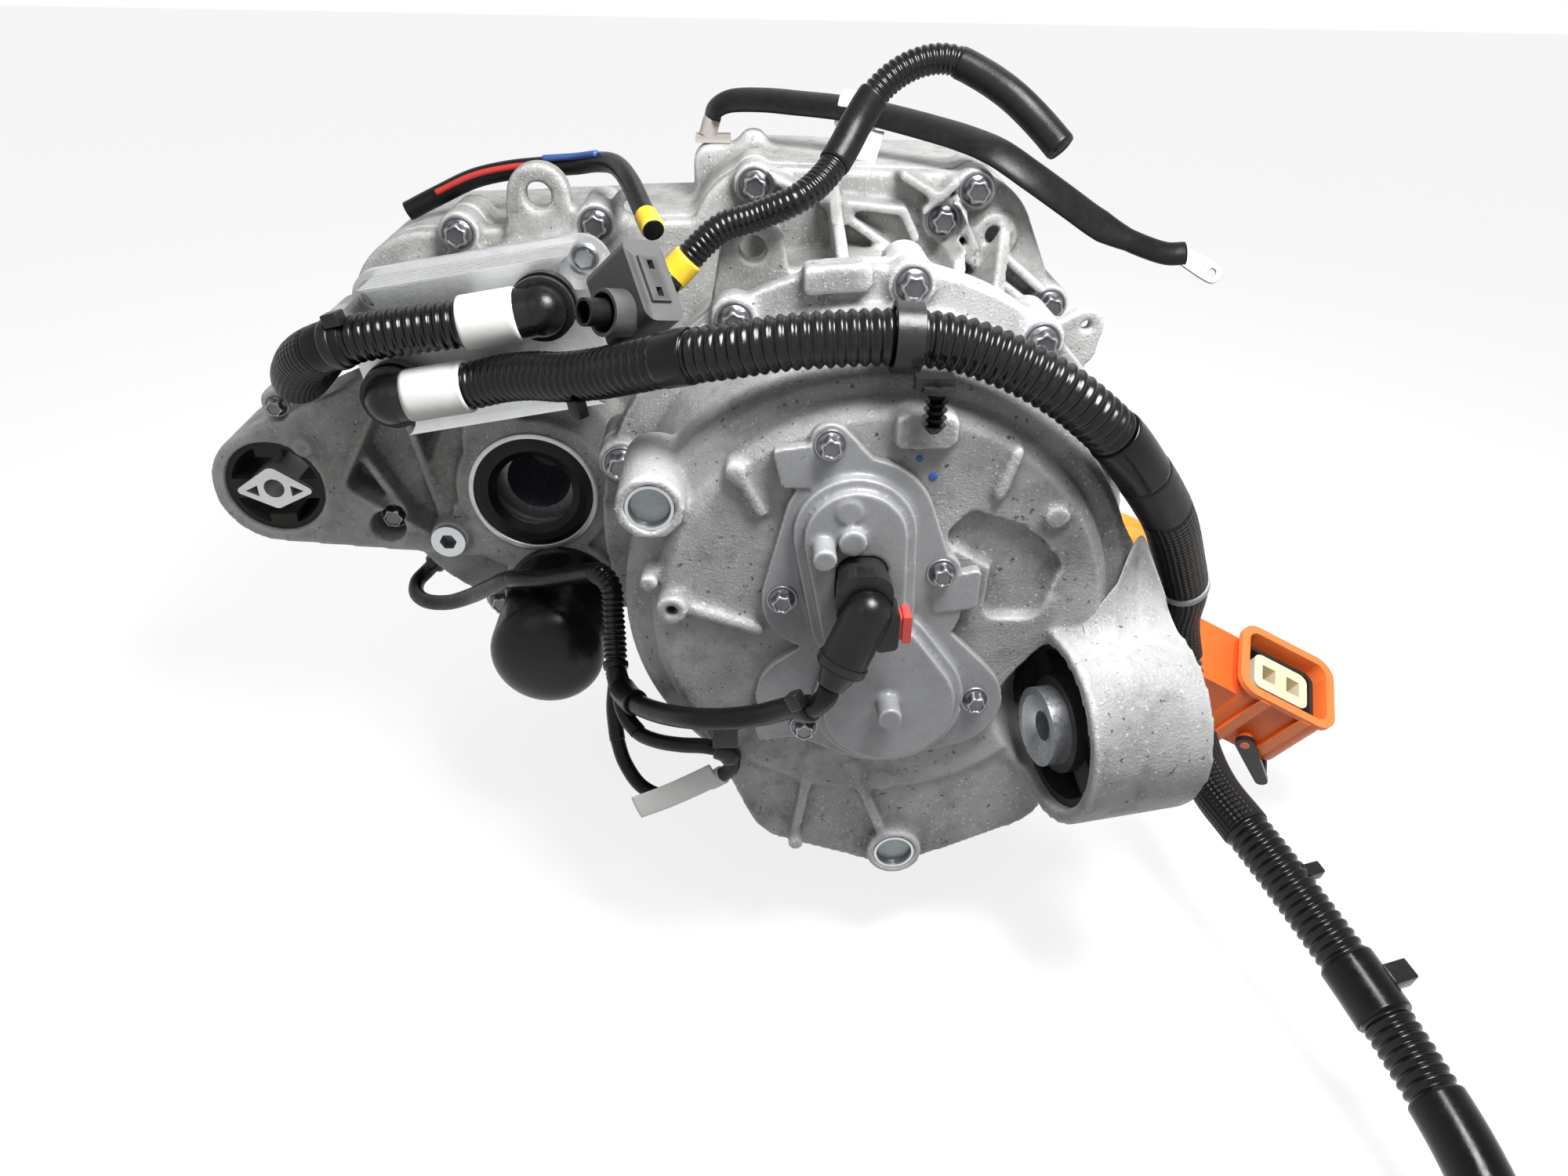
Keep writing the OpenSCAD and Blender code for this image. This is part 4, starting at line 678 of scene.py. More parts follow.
def stretch(path: list[Vector], start: float, end: float) -> list[Vector]:
    """Part of a line.

    Args:
        path: Points of the line, in metres.
        start: Distance of the part's start, which may be before the line's.
        end: Distance of the part's end.

    Returns:
        Points of the part.
    """
    ahead = (path[1] - path[0]).normalized()
    if start < 0:
        lead = [path[0] + ahead * start * (LEAD_STEPS - i) / LEAD_STEPS for i in range(LEAD_STEPS)]
        path = lead + path
        end -= start
        start = 0.0
    result: list[Vector] = []
    walked = 0.0
    for a, b in zip(path, path[1:]):
        step = (b - a).length
        for target in (start, end):
            if walked <= target < walked + step:
                result.append(a.lerp(b, (target - walked) / step))
        walked += step
        if start < walked < end:
            result.append(b)
    return result


def frames(path: list[Vector], aside: Vector) -> list[tuple[Vector, Vector, Vector]]:
    """Direction, side and upward axis at each point of a line, without twist.

    Args:
        path: Points of the line, in metres.
        aside: Side axis wished for at the start.

    Returns:
        The three axes at each point.
    """
    result = []
    side = aside
    for i, _ in enumerate(path):
        ahead = (path[min(i + 1, len(path) - 1)] - path[max(i - 1, 0)]).normalized()
        side = (side - ahead * side.dot(ahead)).normalized()
        result.append((ahead, side, ahead.cross(side)))
    return result


def mesh_object(
    name: str, points: list[Vector], faces: list[Face], smooth: bool = True
) -> bpy.types.Object:
    """A mesh object in the scene.

    Args:
        name: Name of the object.
        points: Vertices in metres.
        faces: Vertex numbers of each face.
        smooth: Whether faces are shaded smooth.

    Returns:
        The new object.
    """
    mesh = bpy.data.meshes.new(name)
    mesh.from_pydata([tuple(p) for p in points], [], faces)
    mesh.polygons.foreach_set("use_smooth", [smooth] * len(mesh.polygons))
    mesh.update()
    thing = bpy.data.objects.new(name, mesh)
    bpy.context.scene.collection.objects.link(thing)
    return thing


def ring_faces(rings: int, sides: int, first: int = 0) -> list[Face]:
    """Faces between neighbouring rings of points.

    Args:
        rings: Number of rings.
        sides: Points of each ring.
        first: Number of the first ring's first point.

    Returns:
        Vertex numbers of each face, ring by ring.
    """
    faces: list[Face] = []
    for i in range(rings - 1):
        row = first + i * sides
        for k in range(sides):
            m = (k + 1) % sides
            faces.append((row + k, row + m, row + sides + m, row + sides + k))
    return faces


def tube(
    name: str,
    path: list[Vector],
    profile: Profile,
    sides: int = 20,
    aside: Vector = Vector((0, 0, 1)),
) -> bpy.types.Object:
    """A closed tube along a line.

    Args:
        name: Name of the object.
        path: Centreline in metres.
        profile: Half width and half height, in metres, at a distance along the whole length.
        sides: Points round the tube.
        aside: Direction of the width at the start.

    Returns:
        The tube, with a UV map that runs once round it and in metres along it.
    """
    points: list[Vector] = []
    along = [0.0]
    for a, b in zip(path, path[1:]):
        along.append(along[-1] + (b - a).length)
    for place, distance, (_, side, up) in zip(path, along, frames(path, aside)):
        wide, high = profile(distance, along[-1])
        for k in range(sides):
            angle = 2 * math.pi * k / sides
            points.append(place + side * (wide * math.cos(angle)) + up * (high * math.sin(angle)))
    faces = ring_faces(len(path), sides)
    faces.append(tuple(reversed(range(sides))))
    faces.append(tuple(range((len(path) - 1) * sides, len(path) * sides)))
    thing = mesh_object(name, points, faces)
    layer = thing.data.uv_layers.new(name="UVMap")
    for face in thing.data.polygons[:-2]:
        k = face.index % sides
        for loop, turn in zip(face.loop_indices, (k, k + 1, k + 1, k)):
            ring = thing.data.loops[loop].vertex_index // sides
            layer.data[loop].uv = (turn / sides, along[ring])
    return thing


def plain(radius: float) -> Profile:
    """Profile of a smooth round cord."""
    return lambda distance, total: (radius, radius)


def corrugated(radius: float, pitch: float, depth: float) -> Profile:
    """Profile of a corrugated hose.

    Args:
        radius: Radius over the ridges.
        pitch: Distance between ridges.
        depth: Depth of the grooves.

    Returns:
        The profile.
    """

    def size(distance: float, total: float) -> tuple[float, float]:
        """Half width and height at a distance."""
        wave = 0.5 + 0.5 * math.cos(2 * math.pi * distance / pitch)
        return (radius - depth * (1 - wave**RIDGE_FULLNESS),) * 2

    return size


def lathe(
    name: str, profile: list[tuple[float, float]], place: Vector, ahead: Vector, sides: int
) -> bpy.types.Object:
    """A turned piece.

    Args:
        name: Name of the object.
        profile: Radius and distance along the axis of each corner, in millimetres.
        place: Start of the axis, in metres.
        ahead: Direction of the axis.
        sides: Points round the piece.

    Returns:
        The piece, open where its profile is.
    """
    turn = ahead.to_track_quat("Z", "Y").to_matrix()
    points = []
    for radius, distance in profile:
        for k in range(sides):
            angle = 2 * math.pi * k / sides
            spot = Vector((radius * math.cos(angle), radius * math.sin(angle), distance))
            points.append(place + turn @ spot * MM)
    return mesh_object(name, points, ring_faces(len(profile), sides))


def block(
    name: str, place: Vector, size: Point, turn: Matrix, round_off: float = 0.8
) -> bpy.types.Object:
    """A box with rounded edges.

    Args:
        name: Name of the object.
        place: Centre in metres.
        size: Sides in millimetres.
        turn: Rotation of the box.
        round_off: Edge radius in millimetres.

    Returns:
        The box.
    """
    x, y, z = (0.5 * MM * s for s in size)
    signs = [(a, b, c) for a in (-1, 1) for b in (-1, 1) for c in (-1, 1)]
    points = [place + turn @ Vector((a * x, b * y, c * z)) for a, b, c in signs]
    faces = [(0, 1, 3, 2), (4, 6, 7, 5), (0, 4, 5, 1), (2, 3, 7, 6), (0, 2, 6, 4), (1, 5, 7, 3)]
    thing = mesh_object(name, points, faces)
    bevel = thing.modifiers.new("rounded", "BEVEL")
    bevel.width = round_off * MM
    bevel.segments = 3
    return thing


def clamped(value: float) -> float:
    """A value held between 0 and 1."""
    return min(1.0, max(0.0, value))


def placed(thing: bpy.types.Object, look: Look) -> bpy.types.Object:
    """Paints a piece and fixes it to the housing.

    Args:
        thing: The piece.
        look: Its finish.

    Returns:
        The piece.
    """
    look.paint(thing)
    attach(thing, BODY)
    return thing


@dataclass
class Castings:
    """The cast housings, their covers and everything that keeps its CAD shape."""

    frame: dict
    fillet_factor: float = 0.5
    fillet_passes: int = 5

    # Cell size, in millimetres, of each casting's rounded mesh
    VOXELS: ClassVar[dict[str, float]] = {
        "motor_housing": 1.5,
        "gearbox_housing": 1.6,
        "rear_cover": 2.4,
        "sensor_cover": 0.8,
    }
    OWN_LOOKS: ClassVar[dict[str, Look]] = {
        "motor_housing": Look.BELL,
        # The cup plugs and drain plug take steel painted darker, as a painted reflection
        "core_plugs": Look.DARKENED_STEEL,
        "differential_case": Look.LAMINATION,
        "drain_plug": Look.DARKENED_STEEL,
        "front_output_seal": Look.SEAL,
        "rear_output_seal": Look.SEAL,
    }

    def build(self) -> None:
        """Paints each CAD node and rounds the castings' edges."""
        slots = {part["node"]: part["material_slot"] for part in self.frame["record"]["subparts"]}
        for name, thing in self.frame["nodes"].items():
            self.OWN_LOOKS.get(name, SLOT_LOOKS[slots[name]]).paint(thing)
        for name, voxel in self.VOXELS.items():
            self._soften(self.frame["nodes"][name], voxel)

    def _soften(self, thing: bpy.types.Object, voxel: float) -> None:
        """Turns sharp CAD edges into cast fillets.

        Args:
            thing: CAD node.
            voxel: Size of the new mesh's cells in millimetres.
        """
        remesh = thing.modifiers.new("cast_mesh", "REMESH")
        remesh.mode = "VOXEL"
        remesh.voxel_size = voxel * MM
        remesh.use_smooth_shade = True
        smooth = thing.modifiers.new("cast_fillets", "SMOOTH")
        smooth.factor = self.fillet_factor
        smooth.iterations = self.fillet_passes


@dataclass(frozen=True)
class Sleeve:
    """A band, tape or sleeve round a cord, with its place in millimetres along the cord."""

    name: str
    start: float
    end: float
    radius: float
    look: Look
    slot: str = "cord_black"
    flat: float = 0.0
    ridge: float = 0.0

    SIDES: ClassVar[int] = 32
    END_DRAW: ClassVar[float] = 0.5
    END_LENGTH: ClassVar[float] = 0.8
    RIDGE_DEPTH: ClassVar[float] = 0.9

    def build(self, path: list[Vector], aside: Vector) -> bpy.types.Object:
        """Makes the sleeve.

        Args:
            path: Centreline of the cord, in metres.
            aside: Direction of the cord's width at its start.

        Returns:
            The sleeve's object.
        """
        line = stretch(path, self.start * MM, self.end * MM)
        high = self.flat or self.radius

        def size(distance: float, total: float) -> tuple[float, float]:
            """Half width and height, drawn in at both ends."""
            inside = min(distance, total - distance)
            draw = self.END_DRAW * max(0.0, 1 - inside / (self.END_LENGTH * MM))
            if self.ridge:
                wave = math.cos(2 * math.pi * distance / (self.ridge * MM))
                draw += 0.5 * self.RIDGE_DEPTH * (1 - wave)
            return ((self.radius - draw) * MM, (high - draw) * MM)

        return placed(tube(self.name, line, size, self.SIDES, aside), self.look)


@dataclass(frozen=True)
class Clip:
    """A small moulded block beside a cord, with its centre and sides in millimetres."""

    name: str
    place: Point
    size: Point
    ahead: Point
    look: Look = Look.PLASTIC
    slot: str = "black_plastic"

    def build(self) -> bpy.types.Object:
        """Makes the clip."""
        turn = Vector(self.ahead).to_track_quat("X", "Z").to_matrix()
        return placed(block(self.name, at(*self.place), self.size, turn), self.look)


@dataclass(frozen=True)
class Strand:
    """A thin wire or a flat tag, along points in millimetres."""

    name: str
    route: tuple[Point, ...]
    half_width: float
    half_height: float
    look: Look
    aside: Point = (0.0, 0.0, 1.0)
    slot: str = "cord_black"

    SIDES: ClassVar[int] = 16
    SPACING: ClassVar[float] = 1.0

    def build(self) -> bpy.types.Object:
        """Makes the wire or tag."""
        path = spline([at(*p) for p in self.route], self.SPACING * MM)
        size = (self.half_width * MM, self.half_height * MM)
        aside = Vector(self.aside)
        thing = tube(self.name, path, lambda distance, total: size, self.SIDES, aside)
        return placed(thing, self.look)


@dataclass(frozen=True)
class RingLug:
    """A flat crimped lug with a hole, in place of a CAD node.

    It starts at a point in millimetres and lies along two directions.
    """

    node: str
    place: Point
    ahead: Point
    across: Point
    length: float
    half_width: float
    hole: float
    thickness: float
    look: Look
    slot: str

    SIDES: ClassVar[int] = 40
    NECK: ClassVar[float] = 0.8
    EDGE: ClassVar[float] = 0.25
    EDGE_STEPS: ClassVar[int] = 2

    def build(self) -> bpy.types.Object:
        """Makes the lug: a strip, then a rounded end round its hole."""
        ahead = Vector(self.ahead).normalized()
        across = (Vector(self.across) - ahead * ahead.dot(Vector(self.across))).normalized()
        flat, faces = self._outline()
        start = Vector(self.place)
        points = [at(*(start + ahead * u + across * v)) for u, v in flat]
        thing = mesh_object(f"{self.node}_look", points, faces, smooth=False)
        plate = thing.modifiers.new("plate", "SOLIDIFY")
        plate.thickness = self.thickness * MM
        plate.offset = 0.0
        rounded = thing.modifiers.new("rounded", "BEVEL")
        rounded.width = self.EDGE * MM
        rounded.segments = self.EDGE_STEPS
        placed(thing, self.look)
        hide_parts(self.node)
        return thing

    def _outline(self) -> tuple[list[tuple[float, float]], list[Face]]:
        """Points along and across the lug, and the faces between them."""
        middle = self.length - self.half_width
        flat: list[tuple[float, float]] = []
        faces: list[Face] = []
        for k in range(self.SIDES):
            angle = 2 * math.pi * k / self.SIDES
            u, v = math.cos(angle), math.sin(angle)
            reach = self.half_width / (max(-u, abs(v)) if u < 0 else 1.0)
            flat.append((middle + self.hole * u, self.hole * v))
            flat.append((middle + reach * u, reach * v))
            m = (k + 1) % self.SIDES
            faces.append((2 * k, 2 * k + 1, 2 * m + 1, 2 * m))
        strip = len(flat)
        neck = self.NECK * self.half_width
        square = middle - self.half_width
        flat += [(0.0, -neck), (0.0, neck)]
        flat += [(square, self.half_width), (square, -self.half_width)]
        faces.append((strip, strip + 3, strip + 2, strip + 1))
        return flat, faces


@dataclass(frozen=True)
class PaintMarks:
    """Assembly marks on the bell face: two blue dots, each with its place and radius."""

    dots: tuple[Point, ...] = ((9.9, 74.1, 1.3), (15.7, 66.6, 1.7))
    face: float = 4.2
    height: float = 0.8
    sides: int = 20

    # Radius of the dome's corners in dot radii, and their height
    DOME: ClassVar[tuple[tuple[float, float], ...]] = ((1.0, 0.0), (1.0, 0.5), (0.7, 0.75))
    TIP: ClassVar[float] = 0.01

    def build(self) -> None:
        """Makes the dots."""
        for i, (x, z, radius) in enumerate(self.dots):
            dome = [(radius * share, height) for share, height in self.DOME]
            dome.append((self.TIP, self.height))
            place = at(x, self.face, z)
            thing = lathe(f"paint_dot_{i}", dome, place, Vector((0, -1, 0)), self.sides)
            placed(thing, Look.PAINT_BLUE)


@dataclass(frozen=True)
class BoltSet:
    """Flanged bolts with six-lobed heads in place of a CAD node.

    A bolt is given by its place across and up, its seat and its thread radius. The rings of a head
    are their radius, their height over the seat and the depth of their lobes, in thread radii.
    """

    node: str
    spots: tuple[tuple[float, float, float, float], ...]

    LOBES: ClassVar[int] = 6
    SIDES: ClassVar[int] = 48
    SHARP: ClassVar[float] = math.radians(38)
    FLANGE: ClassVar[tuple[Point, ...]] = (
        (1.2, -0.1, 0.0), (2.02, 0.0, 0.0), (2.1, 0.08, 0.0), (2.1, 0.26, 0.0),
        (2.03, 0.36, 0.0), (1.88, 0.38, 0.0), (1.72, 0.33, 0.0), (1.5, 0.5, 0.02),
    )
    HEAD: ClassVar[tuple[Point, ...]] = (
        (1.36, 0.6, 0.12), (1.33, 1.68, 0.13), (1.27, 1.82, 0.12), (1.14, 1.9, 0.1),
        (1.0, 1.88, 0.06), (0.9, 1.72, 0.02), (0.02, 1.68, 0.0),
    )

    def build(self) -> None:
        """Makes every bolt of the set, each turned by chance."""
        rings = self.FLANGE + self.HEAD
        points: list[Vector] = []
        faces: list[Face] = []
        for x, z, seat, radius in self.spots:
            faces += ring_faces(len(rings), self.SIDES, len(points))
            phase = random.uniform(0.0, 2 * math.pi)
            for ring, height, lobe in rings:
                for k in range(self.SIDES):
                    angle = 2 * math.pi * k / self.SIDES
                    reach = radius * (ring + lobe * math.cos(self.LOBES * angle + phase))
                    across, up = reach * math.cos(angle), reach * math.sin(angle)
                    points.append(at(x + across, seat - radius * height, z + up))
        thing = mesh_object(f"{self.node}_look", points, faces)
        thing.data.set_sharp_from_angle(angle=self.SHARP)
        placed(thing, Look.ZINC)
        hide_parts(self.node)


@dataclass(frozen=True)
class Bolts:
    """The bolts that show: on the sensor cover, round the flange and on the gearbox wall."""

    cover_thread: float = 3.0
    cover_seat: float = -1.0
    flange_thread: float = 4.0
    flange_seat: float = 85.0
    flange_radius: float = 118.5
    case_thread: float = 4.0
    case_seat: float = 167.0
    arm_bolt: tuple[float, float, float, float] = (-294, 33, 156, 3)

    COVER: ClassVar[tuple[tuple[float, float], ...]] = (
        (-24.6, 82), (-41.6, 14.6), (22, 27), (42, -36), (-31, -50),
    )
    FLANGE_ANGLES: ClassVar[tuple[int, ...]] = (121, 83, 52, 20, -20, -62, -100, -140, 163)
    CASE: ClassVar[tuple[tuple[float, float], ...]] = (
        (39, 126), (97, 85), (-52, 141), (54, 140), (-194, 117), (-128, 122), (-246, 62),
        (-248, -34), (-196, -90), (-96, -98), (-30, -120), (44, -116), (104, -68), (124, 4),
    )

    def build(self) -> None:
        """Makes the three sets."""
        cover = [(x, z, self.cover_seat, self.cover_thread) for x, z in self.COVER]
        BoltSet("sensor_cover_bolts", tuple(cover)).build()
        ring = []
        for angle in self.FLANGE_ANGLES:
            turn = math.radians(angle)
            x, z = self.flange_radius * math.cos(turn), self.flange_radius * math.sin(turn)
            ring.append((x, z, self.flange_seat, self.flange_thread))
        BoltSet("flange_bolts", tuple(ring)).build()
        case = [(x, z, self.case_seat, self.case_thread) for x, z in self.CASE]
        BoltSet("case_bolts", (*case, self.arm_bolt)).build()


@dataclass(frozen=True)
class OilFilter:
    """Oil filter can with a drawn, rounded dome."""

    front: Point = (-158.0, 76.0, -76.0)
    radius: float = 29.0
    dome: float = 18.0
    dome_steps: int = 14
    sides: int = 64
    sharp: float = math.radians(50)

    # Radius and distance from the front of the rolled rim's corners
    RIM: ClassVar[tuple[tuple[float, float], ...]] = (
        (29.0, 68.6), (29.3, 69.0), (30.5, 70.0), (30.5, 73.6), (17.0, 73.6),
    )

    def build(self) -> None:
        """Makes the can."""
        profile = []
        for i in range(self.dome_steps + 1):
            turn = 0.5 * math.pi * i / self.dome_steps
            profile.append((self.radius * math.sin(turn), self.dome * (1 - math.cos(turn))))
        profile += self.RIM
        ahead = Vector((0, 1, 0))
        thing = lathe("oil_filter_look", profile, at(*self.front), ahead, self.sides)
        thing.data.set_sharp_from_angle(angle=self.sharp)
        placed(thing, Look.FILTER)
        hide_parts("oil_filter")


@dataclass(frozen=True)
class LugFairing:
    """Concave web that blends the lug's top into the bell's shoulder.

    Sizes are in millimetres about the motor axis. The web is a row of sections along the lug.
    """

    lug_x: float = 73.0
    lug_y: float = -8.0
    lug_z: float = -45.0
    lug_radius: float = 42.5
    lug_turn: float = math.radians(12)
    start: float = 12.0
    end: float = 52.6
    sections: int = 28
    steps: int = 12
    front_offset: float = -7.0
    sink: float = 0.3
    bell_face: float = 4.5
    shoulder_face: float = 19.6
    step_inner: float = 98.0
    step_outer: float = 112.0
    rise: float = 36.0
    rise_start: float = 80.0
    rise_span: float = 28.0
    edge_x: float = 100.9
    edge_z: float = 50.9
    edge_slope: float = 1.983
    edge_gap: float = 1.5
    bend_back: float = 0.8
    bend_up: float = 0.15
    root_back: float = 3.0
    root_down: float = 8.0
    sharp: float = math.radians(45)

    def build(self) -> None:
        """Makes the web."""
        points: list[Vector] = []
        size = self.steps + 2
        for i in range(self.sections + 1):
            points += self._section(self.start + (self.end - self.start) * i / self.sections)
        faces: list[Face] = []
        for i in range(self.sections):
            for k in range(size):
                m = (k + 1) % size
                faces.append((i * size + k, (i + 1) * size + k, (i + 1) * size + m, i * size + m))
        faces.append(tuple(range(size)))
        faces.append(tuple(reversed(range(self.sections * size, (self.sections + 1) * size))))
        thing = mesh_object("lug_fairing", points, faces)
        thing.data.set_sharp_from_angle(angle=self.sharp)
        placed(thing, Look.BELL)

    def _section(self, along: float) -> list[Vector]:
        """Outline of the web at a distance along the lug.

        Args:
            along: Distance from the lug's opening.

        Returns:
            Points in metres: the concave face from the lug to the shoulder, then a corner inside
            the casting.
        """
        x = self.lug_x + along * math.cos(self.lug_turn)
        front = self.lug_y + along * math.sin(self.lug_turn) + self.front_offset
        crown = math.sqrt(self.lug_radius**2 - self.front_offset**2)
        low = Vector((x, front, self.lug_z + crown - self.sink))
        t = clamped((x - self.rise_start) / self.rise_span)
        risen = low.z + self.rise * t * t * (3 - 2 * t)
        edge = self.edge_z - (x - self.edge_x) * self.edge_slope - self.edge_gap
        top = min(risen, edge)
        step = self.step_outer - self.step_inner
        back = clamped((math.hypot(x, top) - self.step_inner) / step)
        depth = self.bell_face + (self.shoulder_face - self.bell_face) * back
        high = Vector((x, depth, top))
        bend_y = low.y + self.bend_back * (high.y - low.y)
        bend_z = low.z + self.bend_up * (high.z - low.z)
        bend = Vector((x, bend_y, bend_z))
        result = []
        for k in range(self.steps + 1):
            u = k / self.steps
            place = low * (1 - u) ** 2 + bend * (2 * u * (1 - u)) + high * u**2
            result.append(at(*place))
        result.append(at(x, high.y + self.root_back, low.z - self.root_down))
        return result


@dataclass(frozen=True)
class SealSeat:
    """Machined bright ring round the front output seal."""

    place: Point = (-168.0, 148.6, -13.0)
    sides: int = 64
    sharp: float = math.radians(35)

    # Radius and depth of the ring's corners
    PROFILE: ClassVar[tuple[tuple[float, float], ...]] = (
        (31.1, 3.0), (31.1, 0.5), (31.5, 0.0), (33.2, 0.0), (33.8, 0.4), (34.0, 3.0),
    )

    def build(self) -> None:
        """Makes the ring."""
        ahead = Vector((0, 1, 0))
        thing = lathe("seal_seat_ring", list(self.PROFILE), at(*self.place), ahead, self.sides)
        thing.data.set_sharp_from_angle(angle=self.sharp)
        placed(thing, Look.BUSH_CORE)


@dataclass
class Cord:
    """A cord that replaces its CAD tube, with its route and sizes in millimetres."""

    node: str
    route: tuple[Point, ...]
    profile: Profile
    look: Look
    slot: str
    diameter: float
    far_end: str = "object"
    pieces: tuple[str, ...] = ()
    sides: int = 20
    spacing: float = 1.0
    aside: Point = (0.0, 0.0, 1.0)
    lay: str = "loose"
    sleeves: tuple[Sleeve, ...] = ()
    fittings: tuple[Clip | Strand | RingLug, ...] = ()

    def build(self, frame: dict) -> None:
        """Args:
            frame: The loaded frame.
        """
        aside = Vector(self.aside)
        path = spline([at(*p) for p in self.route], self.spacing * MM)
        thing = tube(f"{self.node}_look", path, self.profile, self.sides, aside)
        placed(thing, self.look)
        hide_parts(self.node)
        going = [frame["nodes"][name] for name in self.pieces]
        going += [fitting.build() for fitting in self.fittings]
        going += [sleeve.build(path, aside) for sleeve in self.sleeves]


@dataclass(frozen=True)
class Lamp:
    """A soft square lamp, in millimetres about the motor axis and watts."""

    name: str
    place: Point
    target: Point
    size: float
    power: float

    def build(self) -> None:
        """Adds the lamp to the scene."""
        data = bpy.data.lights.new(self.name, "AREA")
        data.size = self.size * MM
        data.energy = self.power
        lamp = bpy.data.objects.new(self.name, data)
        bpy.context.scene.collection.objects.link(lamp)
        lamp.location = at(*self.place)
        aim = at(*self.target) - at(*self.place)
        lamp.rotation_euler = aim.to_track_quat("-Z", "Y").to_euler()


@dataclass(frozen=True)
class Studio:
    """Camera, lamps, background and floor."""

    camera: Point = (-56.5, -376.6, 247.4)
    right: Point = (0.99936, -0.03049, 0.01848)
    up: Point = (0.0, 0.5186, 0.8550)
    lens: float = 25.2
    sensor: float = 36.0
    near: float = 0.01
    sky_rise: tuple[float, float] = (-0.1, 0.9)
    sky_light: float = 0.4
    ground_light: float = 0.03
    backdrop_fall: tuple[float, float] = (0.12, 0.75)
    backdrop_loss: float = 0.6
    floor_drop: float = 0.03
    floor_reach: float = 6.0
    floor_colour: Colour = (0.35, 0.35, 0.35)
    floor_glow: float = 0.8
    lamps: tuple[Lamp, ...] = (
        Lamp("key", (110, -90, 480), (0, 60, 0), 220, 6.2),
        Lamp("fill", (-520, -420, 620), (-60, 60, 20), 460, 0.6),
        Lamp("back", (120, 760, 760), (-40, 150, 60), 600, 1.3),
    )

    WHITE: ClassVar[Colour] = (1.0, 1.0, 1.0)

    def build(self) -> None:
        """Sets the stage."""
        bpy.context.scene.view_settings.view_transform = "Standard"
        self._camera()
        self._world()
        self._floor()
        for lamp in self.lamps:
            lamp.build()

    def _camera(self) -> None:
        """Places the photo's camera."""
        data = bpy.data.cameras.new("camera")
        data.sensor_width = self.sensor
        data.lens = self.lens
        data.clip_start = self.near
        camera = bpy.data.objects.new("camera", data)
        bpy.context.scene.collection.objects.link(camera)
        right = Vector(self.right).normalized()
        wished = Vector(self.up)
        up = (wished - right * wished.dot(right)).normalized()
        turn = Matrix((right, up, right.cross(up))).transposed()
        camera.matrix_world = Matrix.Translation(at(*self.camera)) @ turn.to_4x4()
        bpy.context.scene.camera = camera

    @staticmethod
    def _seen(w: Wiring) -> bpy.types.NodeSocket:
        """Mask of the rays that show the backdrop: seen by the camera, mirrored or let through."""
        ray = w.add("ShaderNodeLightPath").outputs
        mirrored = w.math("MAXIMUM", ray["Is Glossy Ray"], ray["Is Transmission Ray"])
        return w.math("MAXIMUM", ray["Is Camera Ray"], mirrored)

    def _world(self) -> None:
        """White backdrop that lights the unit softly."""
        world = bpy.data.worlds.new("studio")
        bpy.context.scene.world = world
        world.use_nodes = True
        w = Wiring(world.node_tree)
        back = world.node_tree.nodes["Background"]
        split = w.add("ShaderNodeSeparateXYZ")
        w.link(w.add("ShaderNodeTexCoord").outputs["Generated"], split.inputs[0])
        height = split.outputs[2]
        above = w.math("MULTIPLY", w.ramp(height, *self.sky_rise), self.sky_light)
        sky = w.math("ADD", above, self.ground_light)
        fall = w.math("MULTIPLY", w.ramp(height, *self.backdrop_fall), self.backdrop_loss)
        backdrop = w.math("SUBTRACT", 1.0, fall)
        seen = self._seen(w)
        shown = w.math("MULTIPLY", backdrop, seen)
        lit = w.math("MULTIPLY", sky, w.math("SUBTRACT", 1.0, seen))
        back.inputs["Color"].default_value = rgba(self.WHITE)
        w.link(w.math("ADD", shown, lit), back.inputs["Strength"])

    def _floor(self) -> None:
        """Pale floor under the unit."""
        low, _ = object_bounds()
        z = low[2] - self.floor_drop
        signs = ((-1, -1), (1, -1), (1, 1), (-1, 1))
        corners = [Vector((x * self.floor_reach, y * self.floor_reach, z)) for x, y in signs]
        floor = mesh_object("floor", corners, [(0, 1, 2, 3)], smooth=False)
        material = bpy.data.materials.new("floor_white")
        material.use_nodes = True
        w = Wiring(material.node_tree)
        shader = material.node_tree.nodes["Principled BSDF"]
        shader.inputs["Base Color"].default_value = rgba(self.floor_colour)
        shader.inputs["Roughness"].default_value = 1.0
        shader.inputs["Specular IOR Level"].default_value = 0.0
        shader.inputs["Emission Color"].default_value = rgba(self.WHITE)
        glow = w.math("MULTIPLY", self._seen(w), self.floor_glow)
        w.link(glow, shader.inputs["Emission Strength"])
        floor.data.materials.append(material)
        floor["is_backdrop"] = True


@dataclass
class Cords:
    """All hoses and cables of the unit, with routes in millimetres about the motor axis."""

    frame: dict
    hose_diameter: float = 21.0
    hose_pitch: float = 4.2
    hose_groove: float = 1.5
    hose_sides: int = 28
    hose_spacing: float = 0.7
    conduit_diameter: float = 12.5
    conduit_radius: float = 6.2
    conduit_pitch: float = 2.6
    conduit_groove: float = 0.8
    fine_spacing: float = 0.5
    strap_diameter: float = 12.0
    strap_sides: int = 24
    harness_diameter: float = 9.0
    harness_radius: float = 4.4
    branch_diameter: float = 7.0
    branch_radius: float = 3.4
    loom_diameter: float = 10.0
    loom_radius: float = 4.8
    hv_diameter: float = 13.5
    hv_radius: float = 6.7
    hv_pitch: float = 15.0
    hv_level_points: int = 5

